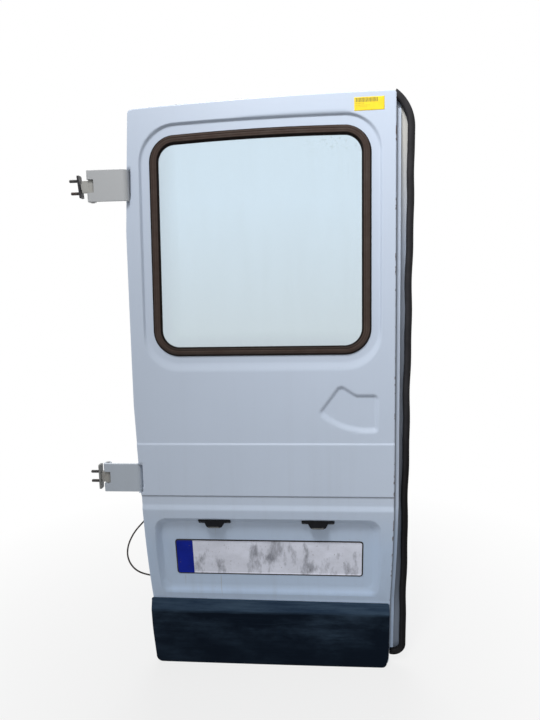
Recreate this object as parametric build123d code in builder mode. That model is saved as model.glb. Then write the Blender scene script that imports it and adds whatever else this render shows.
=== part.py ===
# Rear barn door of a panel van, taken off its van with both hinge brackets still on their pins.
# X runs across the door away from the hinges, Y runs from the outside in, Z is up.
# The origin is the middle of the lower bracket's mounting face, and the pins stand on y = 0.
from build123d import *
import math
import os

# Sheet metal
skin_t = 1.6
inner_t = 1.6
hem_depth = 16.0

# Front outline of the outer skin
edge_right_x = 793.0
edge_left_x = 107.0
edge_left_low_x = 118.0
edge_left_top_x = 121.5
left_taper_low_z = -100.0
left_taper_high_z = 200.0
left_lean_z = 650.0
top_left_z = 955.0
top_right_z = 974.0
top_crown = 6.0
skin_bottom_z = -575.0
top_corner_r = 9.0
low_corner_left_r = 32.0
low_corner_right_r = 14.0

# Side line of the outer skin: y of the face at each height
crease_z = 95.0
groove_z = -49.0
band_z = -80.0
tuck_low_z = -373.0
head_y = 14.8
chest_y = -4.0
chest_z = 563.0
crease_y = -14.0
belt_y = -16.5
groove_y = -12.5
band_y = -17.0
tuck_middle_y = 4.8
tuck_low_y = 40.0
sill_y = 50.0
step_half = 4.0
band_half = 8.0

# Window: all of it lies in one leaning plane
window_low_z = 328.5
window_left_x = 168.0
window_left_top_x = 172.5
window_right_x = 733.0
window_top_left_z = 889.0
window_top_right_z = 900.0
window_crown = 4.5
window_corner_r = 68.0
window_face_low_z = 288.0
window_face_low_y = -11.3
window_face_top_z = 922.0
window_face_top_y = 11.7
swage_margin = 25.0
swage_low_margin = 40.0
swage_slope = 6.0
swage_low_slope = 23.0
swage_depth = 5.0
gasket_w = 24.0
gasket_proud = 6.0
gasket_back = 5.0
gasket_bite = 12.0
gasket_web = 3.0
strip_w = 6.0
strip_proud = 1.5
strip_depth = 3.0
glass_t = skin_t + inner_t

# Pressed hand recess below the window
hand_peak_x = 652.3
hand_peak_z = 250.7
hand_tip_x = 596.0
hand_tip_z = 175.0
hand_low_x = 735.0
hand_low_z = 124.2
hand_right_x = 750.5
hand_shoulder_x = 694.0
hand_shoulder_z = 223.5
hand_depth = 6.0
hand_slope = 9.0
hand_floor_lift = 4.0
hand_corner_r = 12.0

# Number plate recess, plate and plate lamps
recess_left_x = 147.0
recess_right_x = 758.5
recess_top_z = -116.0
recess_low_z = -360.0
recess_side_slope = 14.0
recess_top_slope = 17.0
recess_low_slope = 30.0
mouth_top_y = -13.5
mouth_low_y = 35.0
recess_floor_top_y = 7.4
recess_floor_low_y = 34.0
recess_corner_r = 34.0
recess_low_corner_r = 20.0
plate_w = 520.0
plate_h = 110.0
plate_t = 1.5
plate_corner_r = 9.0
plate_mid_z = -242.0
plate_shift_x = 3.5
lamp_spread = 281.0
lamp_flange_w = 88.0
lamp_flange_h = 18.0
lamp_flange_t = 4.5
lamp_body_w = 54.0
lamp_body_h = 15.0
lamp_nose_w = 38.0
lamp_nose_h = 11.0
lamp_body_t = 18.0
lamp_share = 0.55
lens_w = 32.0
lens_h = 7.0
lens_t = 2.0
lamp_flange_corner_r = 4.0
lamp_body_corner_r = 3.5
lens_corner_r = 3.0

# Lower trim moulding
trim_left_x = 114.5
trim_right_x = 791.0
trim_top_z = -373.0
trim_ledge_z = -407.0
trim_low_z = -578.0
trim_ledge_y = 27.0
trim_low_y = 41.0
trim_wall = 3.0
trim_corner_left_r = 28.0
trim_corner_right_r = 12.0
trim_edge_r = 9.0

# Inner panel: a land in a leaning plane, a raised plug and a flange at the meeting edge
land_top_y = 40.0
land_lean = 0.0248
plug_rise = 25.0
plug_slope = 10.0
plug_margin = 18.0
plug_top_margin = 22.0
plug_low_z = -523.0
plug_corner_r = 45.0
plug_edge_r = 7.0
tunnel_margin = 2.0
flange_rim = 5.0
ledge_x = 807.0
ledge_depth = 21.0
ledge_clear = 3.0
ledge_top_z = 936.0
access_left_x = 215.0
access_right_x = 690.0
access_high_z = 235.0
access_low_z = -80.0
access_bottom_z = -450.0
access_gap = 40.0
access_corner_r = 35.0
clip_hole_d = 8.0
clip_margin = 27.0
clip_rows = 6
clip_columns = 5

# Meeting edge seal
seal_w = 18.0
seal_h = 16.0
seal_corner_r = 6.5
seal_x = 833.0
seal_top_bend_z = 890.0
seal_low_bend_z = -518.0
seal_top_r = 105.0
seal_low_r = 26.0
seal_top_angle = 54.0
seal_low_angle = 108.0
seal_gap = 0.6

# Hinges
pin_x = 24.5
pin_d = 9.0
pin_clearance = 0.05
hinge_spacing = 766.0
arm_h = 77.6
arm_face_y = -14.0
arm_t = 6.0
arm_bend_r = 14.0
arm_edge_r = 1.2
arm_leg_x = 121.0
arm_leg_depth = 52.0
eye_r = 9.0
eye_chamfer = 3.5
knuckle_r = 8.5
knuckle_h = 31.0
knuckle_gap = 1.0
slot_gap = 1.0
slot_side_gap = 3.5
slot_back_gap = 4.0
pin_head_r = 5.2
pin_head_t = 1.2
bracket_t = 5.0
bracket_corner_r = 3.0
bracket_w = 20.0
bracket_h = 68.0
upper_bracket_h = 56.0
upper_bracket_x = -8.5
upper_bracket_angle = 5.0
neck_w = 10.0
neck_h = 29.0
neck_root_h = 15.0
neck_gap = 3.5
stud_d = 8.0
stud_length = 24.0
stud_root_d = 6.4
stud_sink = 4.4
stud_shoulder = 2.0
stud_chamfer = 1.0
seat_d = 11.0
seat_depth = 2.5
lower_stud_spacing = 26.0
upper_stud_spacing = 31.0
reinforcement_h = 112.0
reinforcement_t = 3.0
reinforcement_foot = 34.0
reinforcement_gap = 14.0

# Cable loop at the hinge side
cable_d = 4.5
grommet_r = 9.0
grommet_t = 5.0

# Latches, rods and release lever on the land behind the meeting edge
latch_x = 772.0
latch_w = 34.0
latch_h = 84.0
latch_t = 22.0
latch_corner_r = 5.0
latch_edge_r = 2.0
latch_top_z = 944.0
latch_low_z = -530.0
rod_d = 8.0
rod_depth = 11.0
lever_mid_z = 15.0
lever_h = 150.0
lever_base_t = 16.0
lever_reach = 105.0
lever_corner_r = 8.0
lever_w = 20.0
lever_t = 9.0

os.makedirs("parts", exist_ok=True)

# Wide limits that run past every edge of the door
far_left_x = edge_left_x - 60.0
far_right_x = seal_x + 60.0
far_depth = 220.0
far_top_z = top_right_z + 40.0
far_low_z = skin_bottom_z - 40.0
cut_clear = 30.0


def land_y(z):
    """Depth of the inner panel's land at height z."""
    return land_top_y + land_lean * (top_right_z - z)


def leaning_plane(low_y, low_z, top_y, top_z, sink=0.0):
    """Plane across the door through two depths, moved in by sink. Its local y goes up, its normal out."""
    slope = (top_y - low_y) / (top_z - low_z)
    start = Vector(0, low_y - slope * low_z, 0)
    normal = Vector(0, -1, slope).normalized()
    return Plane(origin=start - normal * sink, x_dir=(1, 0, 0), z_dir=normal)


window_plane = leaning_plane(
    window_face_low_y, window_face_low_z, window_face_top_y, window_face_top_z, swage_depth
)
land_plane = leaning_plane(land_y(0.0), 0.0, land_y(top_right_z), top_right_z)
inward = Axis(land_plane.origin, -land_plane.z_dir)
floor_top_z = recess_top_z - recess_top_slope
floor_low_z = recess_low_z + recess_low_slope
floor_plane = leaning_plane(recess_floor_low_y, floor_low_z, recess_floor_top_y, floor_top_z)
mouth_plane = leaning_plane(mouth_low_y, recess_low_z, mouth_top_y, recess_top_z)


def side_line(shift, stepped=True):
    """Side line of the outer face, moved in by shift, drawn upwards in the y z plane.

    Where it isn't stepped, one straight run takes the place of the belt's steps.
    """
    Line((sill_y + shift, far_low_z), (sill_y + shift, skin_bottom_z))
    Line((sill_y + shift, skin_bottom_z), (tuck_low_y + shift, tuck_low_z))
    ThreePointArc(
        (tuck_low_y + shift, tuck_low_z),
        (tuck_middle_y + shift, (tuck_low_z + band_z - band_half) / 2),
        (band_y + shift, band_z - band_half),
    )
    steps = (
        (groove_y + shift, band_z + band_half),
        (groove_y + shift, groove_z - step_half),
        (belt_y + shift, groove_z + step_half),
        (belt_y + shift, crease_z - step_half),
    )
    Polyline(
        (band_y + shift, band_z - band_half),
        *(steps if stepped else ()),
        (crease_y + shift, crease_z + step_half),
    )
    ThreePointArc(
        (crease_y + shift, crease_z + step_half),
        (chest_y + shift, chest_z),
        (head_y + shift, far_top_z),
    )


def side_band(front, back, start_x):
    """Face between the plain side line moved in by front and the same line moved in by back, at start_x."""
    with BuildSketch(Plane.YZ.offset(start_x)) as band:
        with BuildLine():
            side_line(front, stepped=False)
            side_line(back, stepped=False)
            for z, y in ((far_low_z, sill_y), (far_top_z, head_y)):
                Line((y + front, z), (y + back, z))
        make_face()
    return band.sketch


def side_lump(front, depth, start_x=far_left_x, stepped=True):
    """Face from the side line moved in by front to the land's plane moved in by depth, at start_x."""
    with BuildSketch(Plane.YZ.offset(start_x)) as lump:
        with BuildLine():
            side_line(front, stepped)
            Polyline(
                (sill_y + front, far_low_z),
                (land_y(far_low_z) + depth, far_low_z),
                (land_y(far_top_z) + depth, far_top_z),
                (head_y + front, far_top_z),
            )
        make_face()
    return lump.sketch


def door_outline(inset):
    """Front outline of the outer skin, drawn inside by inset."""
    top_left = (edge_left_top_x, top_left_z)
    top_right = (edge_right_x, top_right_z)
    top_middle = ((edge_left_top_x + edge_right_x) / 2, (top_left_z + top_right_z) / 2 + top_crown)
    with BuildSketch(Plane.XZ) as outline:
        with BuildLine():
            Polyline(
                top_right,
                (edge_right_x, skin_bottom_z),
                (edge_left_low_x, skin_bottom_z),
                (edge_left_low_x, left_taper_low_z),
                (edge_left_x, left_taper_high_z),
                (edge_left_x, left_lean_z),
                top_left,
            )
            ThreePointArc(top_left, top_middle, top_right)
        make_face()
        fillet(outline.vertices().sort_by(Axis.Y)[-2:], top_corner_r)
        fillet(outline.vertices().group_by(Axis.Y)[0].sort_by(Axis.X)[0], low_corner_left_r)
        fillet(outline.vertices().group_by(Axis.Y)[0].sort_by(Axis.X)[-1], low_corner_right_r)
        if inset:
            offset(amount=-inset)
    return outline.sketch


def window_outline(grow, low_extra=0.0):
    """Outline of the window rubber in its own plane, grown by grow, and by low_extra more at the bottom."""
    low = window_low_z - grow - low_extra
    top_left = (window_left_top_x - grow, window_top_left_z + grow)
    top_right = (window_right_x + grow, window_top_right_z + grow)
    middle_z = (window_top_left_z + window_top_right_z) / 2 + window_crown
    middle = ((window_left_x + window_right_x) / 2, middle_z + grow)
    with BuildSketch() as outline:
        with BuildLine():
            Polyline(top_left, (window_left_x - grow, low), (window_right_x + grow, low), top_right)
            ThreePointArc(top_left, middle, top_right)
        make_face()
        fillet(outline.vertices(), window_corner_r + grow)
    return outline.sketch


def split_tail(plane):
    """Everything on the inner side of a plane across the door."""
    with BuildPart() as tail:
        with BuildSketch(plane):
            Rectangle(4 * far_right_x, 4 * far_right_x)
        extrude(amount=-2 * far_depth)
    return tail.part


def window_ring(outer_grow, inner_grow):
    """Ring between two window outlines."""
    add(window_outline(outer_grow))
    add(window_outline(inner_grow), mode=Mode.SUBTRACT)


def swage_cut(grow):
    """Cutter of the sunk field round the window, grown by grow."""
    low_extra = swage_low_margin - swage_margin
    slope_extra = swage_low_slope - swage_slope
    with BuildPart() as cutter:
        with BuildSketch(window_plane.offset(-grow)):
            add(window_outline(swage_margin - swage_slope + grow, low_extra - slope_extra))
        with BuildSketch(window_plane.offset(swage_depth)):
            add(window_outline(swage_margin + grow, low_extra))
        loft(ruled=True)
        with BuildSketch(window_plane.offset(swage_depth)):
            add(window_outline(swage_margin + grow, low_extra))
        extrude(amount=cut_clear)
    return cutter.part


def hand_outline(inset):
    """Outline of the pressed hand recess, drawn inside by inset."""
    with BuildSketch() as outline:
        with BuildLine():
            TangentArc((hand_low_x, hand_low_z), (hand_tip_x, hand_tip_z), tangent=(-1, 0))
            Polyline(
                (hand_low_x, hand_low_z), (hand_right_x, hand_low_z), (hand_right_x, hand_shoulder_z),
                (hand_shoulder_x, hand_shoulder_z), (hand_peak_x, hand_peak_z), (hand_tip_x, hand_tip_z),
            )
        make_face()
        fillet([corner for corner in outline.vertices() if corner.X != hand_low_x], hand_corner_r)
        offset(amount=-inset)
    return outline.sketch


def hand_cut(grow):
    """Cutter of the pressed hand recess, grown by grow."""
    face_plane = leaning_plane(crease_y, crease_z, chest_y, chest_z)
    with BuildPart() as cutter:
        with BuildSketch(face_plane.offset(-hand_depth - grow)):
            with Locations((0, hand_floor_lift)):
                add(hand_outline(hand_slope - grow))
        with BuildSketch(face_plane):
            add(hand_outline(-grow))
        loft(ruled=True)
        with BuildSketch(face_plane):
            add(hand_outline(-grow))
        extrude(amount=cut_clear)
    return cutter.part


def recess_outline(left, right, low, top, grow):
    """Rounded outline of the plate recess, grown by grow."""
    with BuildSketch() as outline:
        with BuildLine():
            Polyline((left, low), (right, low), (right, top), (left, top), close=True)
        make_face()
        fillet(outline.vertices().group_by(Axis.Y)[-1], recess_corner_r)
        fillet(outline.vertices().group_by(Axis.Y)[0], recess_low_corner_r)
        if grow:
            offset(amount=grow)
    return outline.sketch


def recess_cut(grow):
    """Cutter of the plate recess: deep under its ceiling, fading towards its lower edge."""
    mouth_face = recess_outline(recess_left_x, recess_right_x, recess_low_z, recess_top_z, grow)
    floor_face = recess_outline(
        recess_left_x + recess_side_slope, recess_right_x - recess_side_slope, floor_low_z, floor_top_z, grow
    )
    with BuildPart() as cutter:
        with BuildSketch(floor_plane.offset(-grow)):
            add(floor_face)
        with BuildSketch(mouth_plane):
            add(mouth_face)
        loft(ruled=True)
        with BuildSketch(mouth_plane):
            add(mouth_face)
        extrude(amount=cut_clear)
    return cutter.part


def door_lump(grow):
    """Solid behind the outer face moved in by grow, with the pressed recesses taken out of it."""
    with BuildPart() as lump:
        extrude(side_lump(grow, 0.0), amount=far_right_x - far_left_x)
        extrude(door_outline(grow), amount=far_depth, both=True, mode=Mode.INTERSECT)
        add(swage_cut(grow), mode=Mode.SUBTRACT)
        add(hand_cut(grow), mode=Mode.SUBTRACT)
        add(recess_cut(grow), mode=Mode.SUBTRACT)
    return lump.part


def hinge_slot(z):
    """Slot through the skin and the side wall for a hinge arm at height z."""
    slot_back_y = arm_face_y + arm_leg_depth + slot_back_gap
    with Locations((arm_leg_x + slot_side_gap, slot_back_y, z)):
        Box(
            far_depth, far_depth, arm_h + 2 * slot_gap,
            align=(Align.MAX, Align.MAX, Align.CENTER), mode=Mode.SUBTRACT,
        )


def finish(piece, name):
    """Label a finished piece and write it out."""
    piece.label = name
    export_step(piece, f"parts/{name}.step")


hinge_heights = {"lower": 0.0, "upper": hinge_spacing}

# Outer skin: one pressing with a short return all round
with BuildPart() as outer_skin:
    add(door_lump(0.0))
    add(door_lump(skin_t), mode=Mode.SUBTRACT)
    behind_hem = extrude(side_lump(hem_depth, far_depth), amount=far_right_x - far_left_x, mode=Mode.PRIVATE)
    hem_ring = door_outline(0.0) - door_outline(skin_t)
    hem_tail = extrude(hem_ring, amount=far_depth, both=True, mode=Mode.PRIVATE) & behind_hem
    add(hem_tail, mode=Mode.SUBTRACT)
    with BuildSketch(window_plane):
        add(window_outline(-gasket_bite))
    extrude(amount=cut_clear, both=True, mode=Mode.SUBTRACT)
    for hinge_z in hinge_heights.values():
        hinge_slot(hinge_z)
finish(outer_skin.part, "outer_skin")

# Inner panel: side wall and land in one pressing, raised plug, window tunnel, meeting edge flange
plug_plane = land_plane.offset(-plug_rise)
ledge_root_x = edge_right_x - skin_t - inner_t


def plug_outline(inset):
    """Footprint of the raised plug, drawn inside by inset."""
    with BuildSketch() as outline:
        with BuildLine():
            Polyline(
                (window_left_x - plug_margin, plug_low_z), (window_right_x + plug_margin, plug_low_z),
                (window_right_x + plug_margin, window_top_right_z + plug_top_margin),
                (window_left_x - plug_margin, window_top_left_z + plug_top_margin), close=True,
            )
        make_face()
        fillet(outline.vertices(), plug_corner_r)
        if inset:
            offset(amount=-inset)
    return outline.sketch


def plug_lump(inset, lift):
    """Raised plug drawn inside by inset, with its top face lowered by lift."""
    with BuildPart() as plug:
        with BuildSketch(land_plane):
            add(plug_outline(inset))
        with BuildSketch(plug_plane.offset(lift)):
            add(plug_outline(plug_slope + inset))
        loft(ruled=True)
        fillet(plug.faces().sort_by(inward)[-1].edges(), plug_edge_r - inset)
    return plug.part


def flange_outline():
    """Outline of the flange that carries the meeting edge seal."""
    root_x = ledge_root_x - inner_t
    top_center = (seal_x - seal_top_r, seal_top_bend_z)
    low_center = (seal_x - seal_low_r, seal_low_bend_z)
    with BuildSketch(Plane.XZ) as outline:
        with BuildLine():
            top = CenterArc(top_center, seal_top_r + flange_rim, 0, seal_top_angle)
            low = CenterArc(low_center, seal_low_r + flange_rim, 0, -seal_low_angle)
            Line(top @ 0, low @ 0)
            Polyline(top @ 1, (root_x, (top @ 1).Y), (root_x, (low @ 1).Y), low @ 1)
        make_face()
    return outline.sketch


def ledge_outline():
    """Outline of the stepped ledge between the side wall and the flange."""
    ledge_low_z = seal_low_bend_z - seal_low_r + seal_w / 2 + ledge_clear
    with BuildSketch(Plane.XZ) as outline:
        with BuildLine():
            Polyline(
                (ledge_root_x, ledge_low_z), (ledge_x, ledge_low_z),
                (ledge_x, ledge_top_z), (ledge_root_x, ledge_top_z), close=True,
            )
        make_face()
    return outline.sketch


def land_section():
    """Section of the land's sheet, from below the door to above it."""
    with BuildSketch(Plane.YZ.offset(far_left_x)) as section:
        with BuildLine():
            Polyline(
                (land_y(skin_bottom_z), skin_bottom_z), (land_y(far_top_z), far_top_z),
                (land_y(far_top_z) + inner_t, far_top_z), (land_y(skin_bottom_z) + inner_t, skin_bottom_z),
                close=True,
            )
        make_face()
    return section.sketch


with BuildPart() as inner_panel:
    extrude(side_lump(skin_t, inner_t), amount=far_right_x - far_left_x)
    extrude(door_outline(skin_t), amount=far_depth, both=True, mode=Mode.INTERSECT)
    core = extrude(side_lump(-far_depth / 2, 0.0), amount=far_right_x - far_left_x, mode=Mode.PRIVATE)
    core_outline = door_outline(skin_t + inner_t)
    add(core & extrude(core_outline, amount=far_depth, both=True, mode=Mode.PRIVATE), mode=Mode.SUBTRACT)
    slab = extrude(land_section(), amount=far_right_x - far_left_x, mode=Mode.PRIVATE)
    add(slab & extrude(flange_outline(), amount=far_depth, both=True, mode=Mode.PRIVATE))
    ledge_sheet = extrude(
        side_band(ledge_depth, ledge_depth + inner_t, ledge_root_x),
        amount=ledge_x - ledge_root_x, mode=Mode.PRIVATE,
    )
    ledge_wall = extrude(
        side_lump(ledge_depth, inner_t, ledge_x - inner_t, stepped=False), amount=inner_t, mode=Mode.PRIVATE
    )
    ledge_reach = extrude(ledge_outline(), amount=far_depth, both=True, mode=Mode.PRIVATE)
    add((ledge_sheet + ledge_wall) & ledge_reach)
    with BuildSketch(land_plane):
        add(plug_outline(inner_t))
    extrude(amount=2 * inner_t, both=True, mode=Mode.SUBTRACT)
    add(plug_lump(0.0, 0.0) - plug_lump(inner_t, inner_t))
    with BuildSketch(window_plane.offset(-skin_t - inner_t)):
        add(window_outline(tunnel_margin))
    extrude(amount=-far_depth, mode=Mode.SUBTRACT)
    with BuildSketch(window_plane.offset(-skin_t)):
        window_ring(tunnel_margin + inner_t, tunnel_margin)
    tunnel = extrude(amount=-far_depth, mode=Mode.PRIVATE)
    with BuildSketch(window_plane.offset(-skin_t)):
        window_ring(tunnel_margin + inner_t, -gasket_bite)
    extrude(amount=-inner_t)
    add(tunnel - split_tail(plug_plane))
    with BuildSketch(land_plane):
        access_mid_x = (access_left_x + access_right_x) / 2
        half_w = (access_right_x - access_left_x - access_gap) / 2
        access_mid_z = (access_high_z + access_low_z) / 2
        for side in (-1, 1):
            with Locations((access_mid_x + side * (half_w + access_gap) / 2, access_mid_z)):
                RectangleRounded(half_w, access_high_z - access_low_z, access_corner_r)
        with Locations((access_mid_x, (access_low_z - access_gap + access_bottom_z) / 2)):
            RectangleRounded(
                access_right_x - access_left_x, access_low_z - access_gap - access_bottom_z, access_corner_r
            )
    extrude(amount=-2 * plug_rise, mode=Mode.SUBTRACT)
    clip_width = access_right_x - access_left_x + 2 * clip_margin
    clip_height = access_high_z - access_bottom_z + clip_margin
    with BuildSketch(land_plane):
        with Locations((access_mid_x, (access_high_z + access_bottom_z - clip_margin) / 2)):
            with GridLocations(clip_width, clip_height / (clip_rows - 1), 2, clip_rows):
                Circle(clip_hole_d / 2)
        with Locations((access_mid_x, access_bottom_z - clip_margin)):
            with GridLocations(clip_width / (clip_columns + 1), 0, clip_columns, 1):
                Circle(clip_hole_d / 2)
    extrude(amount=-2 * plug_rise, mode=Mode.SUBTRACT)
    for hinge_z in hinge_heights.values():
        hinge_slot(hinge_z)
finish(inner_panel.part, "inner_panel")

# Window glass, the rubber that holds it and the rubber's locking strip
with BuildPart() as window_glass:
    with BuildSketch(window_plane):
        add(window_outline(-gasket_bite - gasket_web))
    extrude(amount=-glass_t)
finish(window_glass.part, "window_glass")

strip_inset = (gasket_w - strip_w) / 2
with BuildPart() as window_gasket:
    with BuildSketch(window_plane):
        window_ring(0.0, -gasket_w)
    extrude(amount=gasket_proud)
    with BuildSketch(window_plane):
        window_ring(-gasket_bite, -gasket_bite - gasket_web)
    extrude(amount=-glass_t)
    with BuildSketch(window_plane.offset(-glass_t)):
        window_ring(-gasket_web, -gasket_w)
    extrude(amount=-gasket_back)
    with BuildSketch(window_plane.offset(gasket_proud - strip_depth)):
        window_ring(-strip_inset, -strip_inset - strip_w)
    extrude(amount=strip_depth, mode=Mode.SUBTRACT)
finish(window_gasket.part, "window_gasket")

with BuildPart() as gasket_strip:
    with BuildSketch(window_plane.offset(gasket_proud - strip_depth)):
        window_ring(-strip_inset, -strip_inset - strip_w)
    extrude(amount=strip_depth + strip_proud)
finish(gasket_strip.part, "gasket_locking_strip")


def trim_outline(inset):
    """Front outline of the lower trim, drawn inside by inset."""
    with BuildSketch(Plane.XZ) as outline:
        with BuildLine():
            Polyline(
                (trim_left_x, trim_low_z), (trim_right_x, trim_low_z),
                (trim_right_x, trim_top_z), (trim_left_x, trim_top_z), close=True,
            )
        make_face()
        fillet(outline.vertices().group_by(Axis.Y)[0].sort_by(Axis.X)[0], trim_corner_left_r)
        fillet(outline.vertices().group_by(Axis.Y)[0].sort_by(Axis.X)[-1], trim_corner_right_r)
        if inset:
            offset(amount=-inset)
    return outline.sketch


# Lower trim: a moulding with a sloping ledge, hollow behind
with BuildPart() as lower_trim:
    with BuildSketch(Plane.YZ.offset(far_left_x)) as trim_section:
        with BuildLine():
            Polyline(
                (tuck_low_y, trim_top_z), (trim_ledge_y, trim_ledge_z), (trim_low_y, trim_low_z),
                (sill_y, trim_low_z), (sill_y, skin_bottom_z), close=True,
            )
        make_face()
        fillet(trim_section.vertices().sort_by(Axis.X)[0], trim_edge_r)
    extrude(amount=far_right_x - far_left_x)
    extrude(trim_outline(0.0), amount=far_depth, both=True, mode=Mode.INTERSECT)
    with BuildSketch(Plane.YZ.offset(far_left_x)) as trim_hollow:
        with BuildLine():
            Polyline(
                (tuck_low_y + trim_wall, trim_top_z), (trim_ledge_y + trim_wall, trim_ledge_z),
                (trim_low_y + trim_wall, trim_low_z), (sill_y + trim_wall, trim_low_z),
                (sill_y + trim_wall, trim_top_z), close=True,
            )
        make_face()
        fillet(trim_hollow.vertices().sort_by(Axis.X)[0], trim_edge_r - trim_wall)
    hollow = extrude(amount=far_right_x - far_left_x, mode=Mode.PRIVATE)
    hollow_reach = extrude(trim_outline(trim_wall), amount=far_depth, both=True, mode=Mode.PRIVATE)
    add(hollow & hollow_reach, mode=Mode.SUBTRACT)
finish(lower_trim.part, "lower_trim")

# Number plate on the floor of its recess
recess_mid_x = (recess_left_x + recess_right_x) / 2
with BuildPart() as number_plate:
    with BuildSketch(floor_plane):
        with Locations((recess_mid_x + plate_shift_x, plate_mid_z)):
            RectangleRounded(plate_w, plate_h, plate_corner_r)
    extrude(amount=plate_t)
finish(number_plate.part, "number_plate")

# Plate lamps on the sloping ceiling of the recess, each a housing with its lens
ceiling_rim = mouth_plane.from_local_coords((recess_mid_x, recess_top_z, 0))
ceiling_run = floor_plane.from_local_coords((recess_mid_x, floor_top_z, 0)) - ceiling_rim
lamp_middle = ceiling_rim + ceiling_run * lamp_share
for side, name in ((-1, "left"), (1, "right")):
    lamp_plane = Plane(
        origin=lamp_middle + Vector(side * lamp_spread / 2, 0, 0),
        x_dir=(1, 0, 0), z_dir=ceiling_run.cross(Vector(1, 0, 0)),
    )
    with BuildPart() as lamp:
        with BuildSketch(lamp_plane):
            RectangleRounded(lamp_flange_w, lamp_flange_h, lamp_flange_corner_r)
        extrude(amount=lamp_flange_t)
        with BuildSketch(lamp_plane.offset(lamp_flange_t)):
            RectangleRounded(lamp_body_w, lamp_body_h, lamp_body_corner_r)
        with BuildSketch(lamp_plane.offset(lamp_body_t)):
            RectangleRounded(lamp_nose_w, lamp_nose_h, lamp_body_corner_r)
        loft(ruled=True)
    finish(lamp.part, f"plate_lamp_{name}")
    with BuildPart() as lens:
        with BuildSketch(lamp_plane.offset(lamp_body_t)):
            RectangleRounded(lens_w, lens_h, lens_corner_r)
        extrude(amount=lens_t)
    finish(lens.part, f"plate_lamp_lens_{name}")

# Meeting edge seal on the outer face of the flange
with BuildPart() as edge_seal:
    with BuildLine(land_plane.offset(seal_h / 2)) as seal_path:
        top = CenterArc((seal_x - seal_top_r, seal_top_bend_z), seal_top_r, seal_top_angle, -seal_top_angle)
        low = CenterArc((seal_x - seal_low_r, seal_low_bend_z), seal_low_r, 0, -seal_low_angle)
        Line(top @ 1, low @ 0)
    seal_line = seal_path.wire()
    with BuildSketch(Plane(origin=seal_line @ 0, x_dir=land_plane.z_dir, z_dir=seal_line % 0)):
        RectangleRounded(seal_h, seal_w, seal_corner_r)
    sweep(path=seal_line)
    extrude(door_outline(-seal_gap), amount=far_depth, both=True, mode=Mode.SUBTRACT)
finish(edge_seal.part, "meeting_edge_seal")


def bracket_plane(name):
    """Mounting face of a hinge bracket. Its local y goes up the face, its normal points off the door."""
    lean = math.radians(upper_bracket_angle) if name == "upper" else 0.0
    face_x = upper_bracket_x if name == "upper" else 0.0
    return Plane(
        origin=(face_x, 0, hinge_heights[name]),
        x_dir=(0, -1, 0), z_dir=(-math.cos(lean), 0, -math.sin(lean)),
    )


bracket_heights = {"lower": bracket_h, "upper": upper_bracket_h}
stud_spacings = {"lower": lower_stud_spacing, "upper": upper_stud_spacing}

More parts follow.
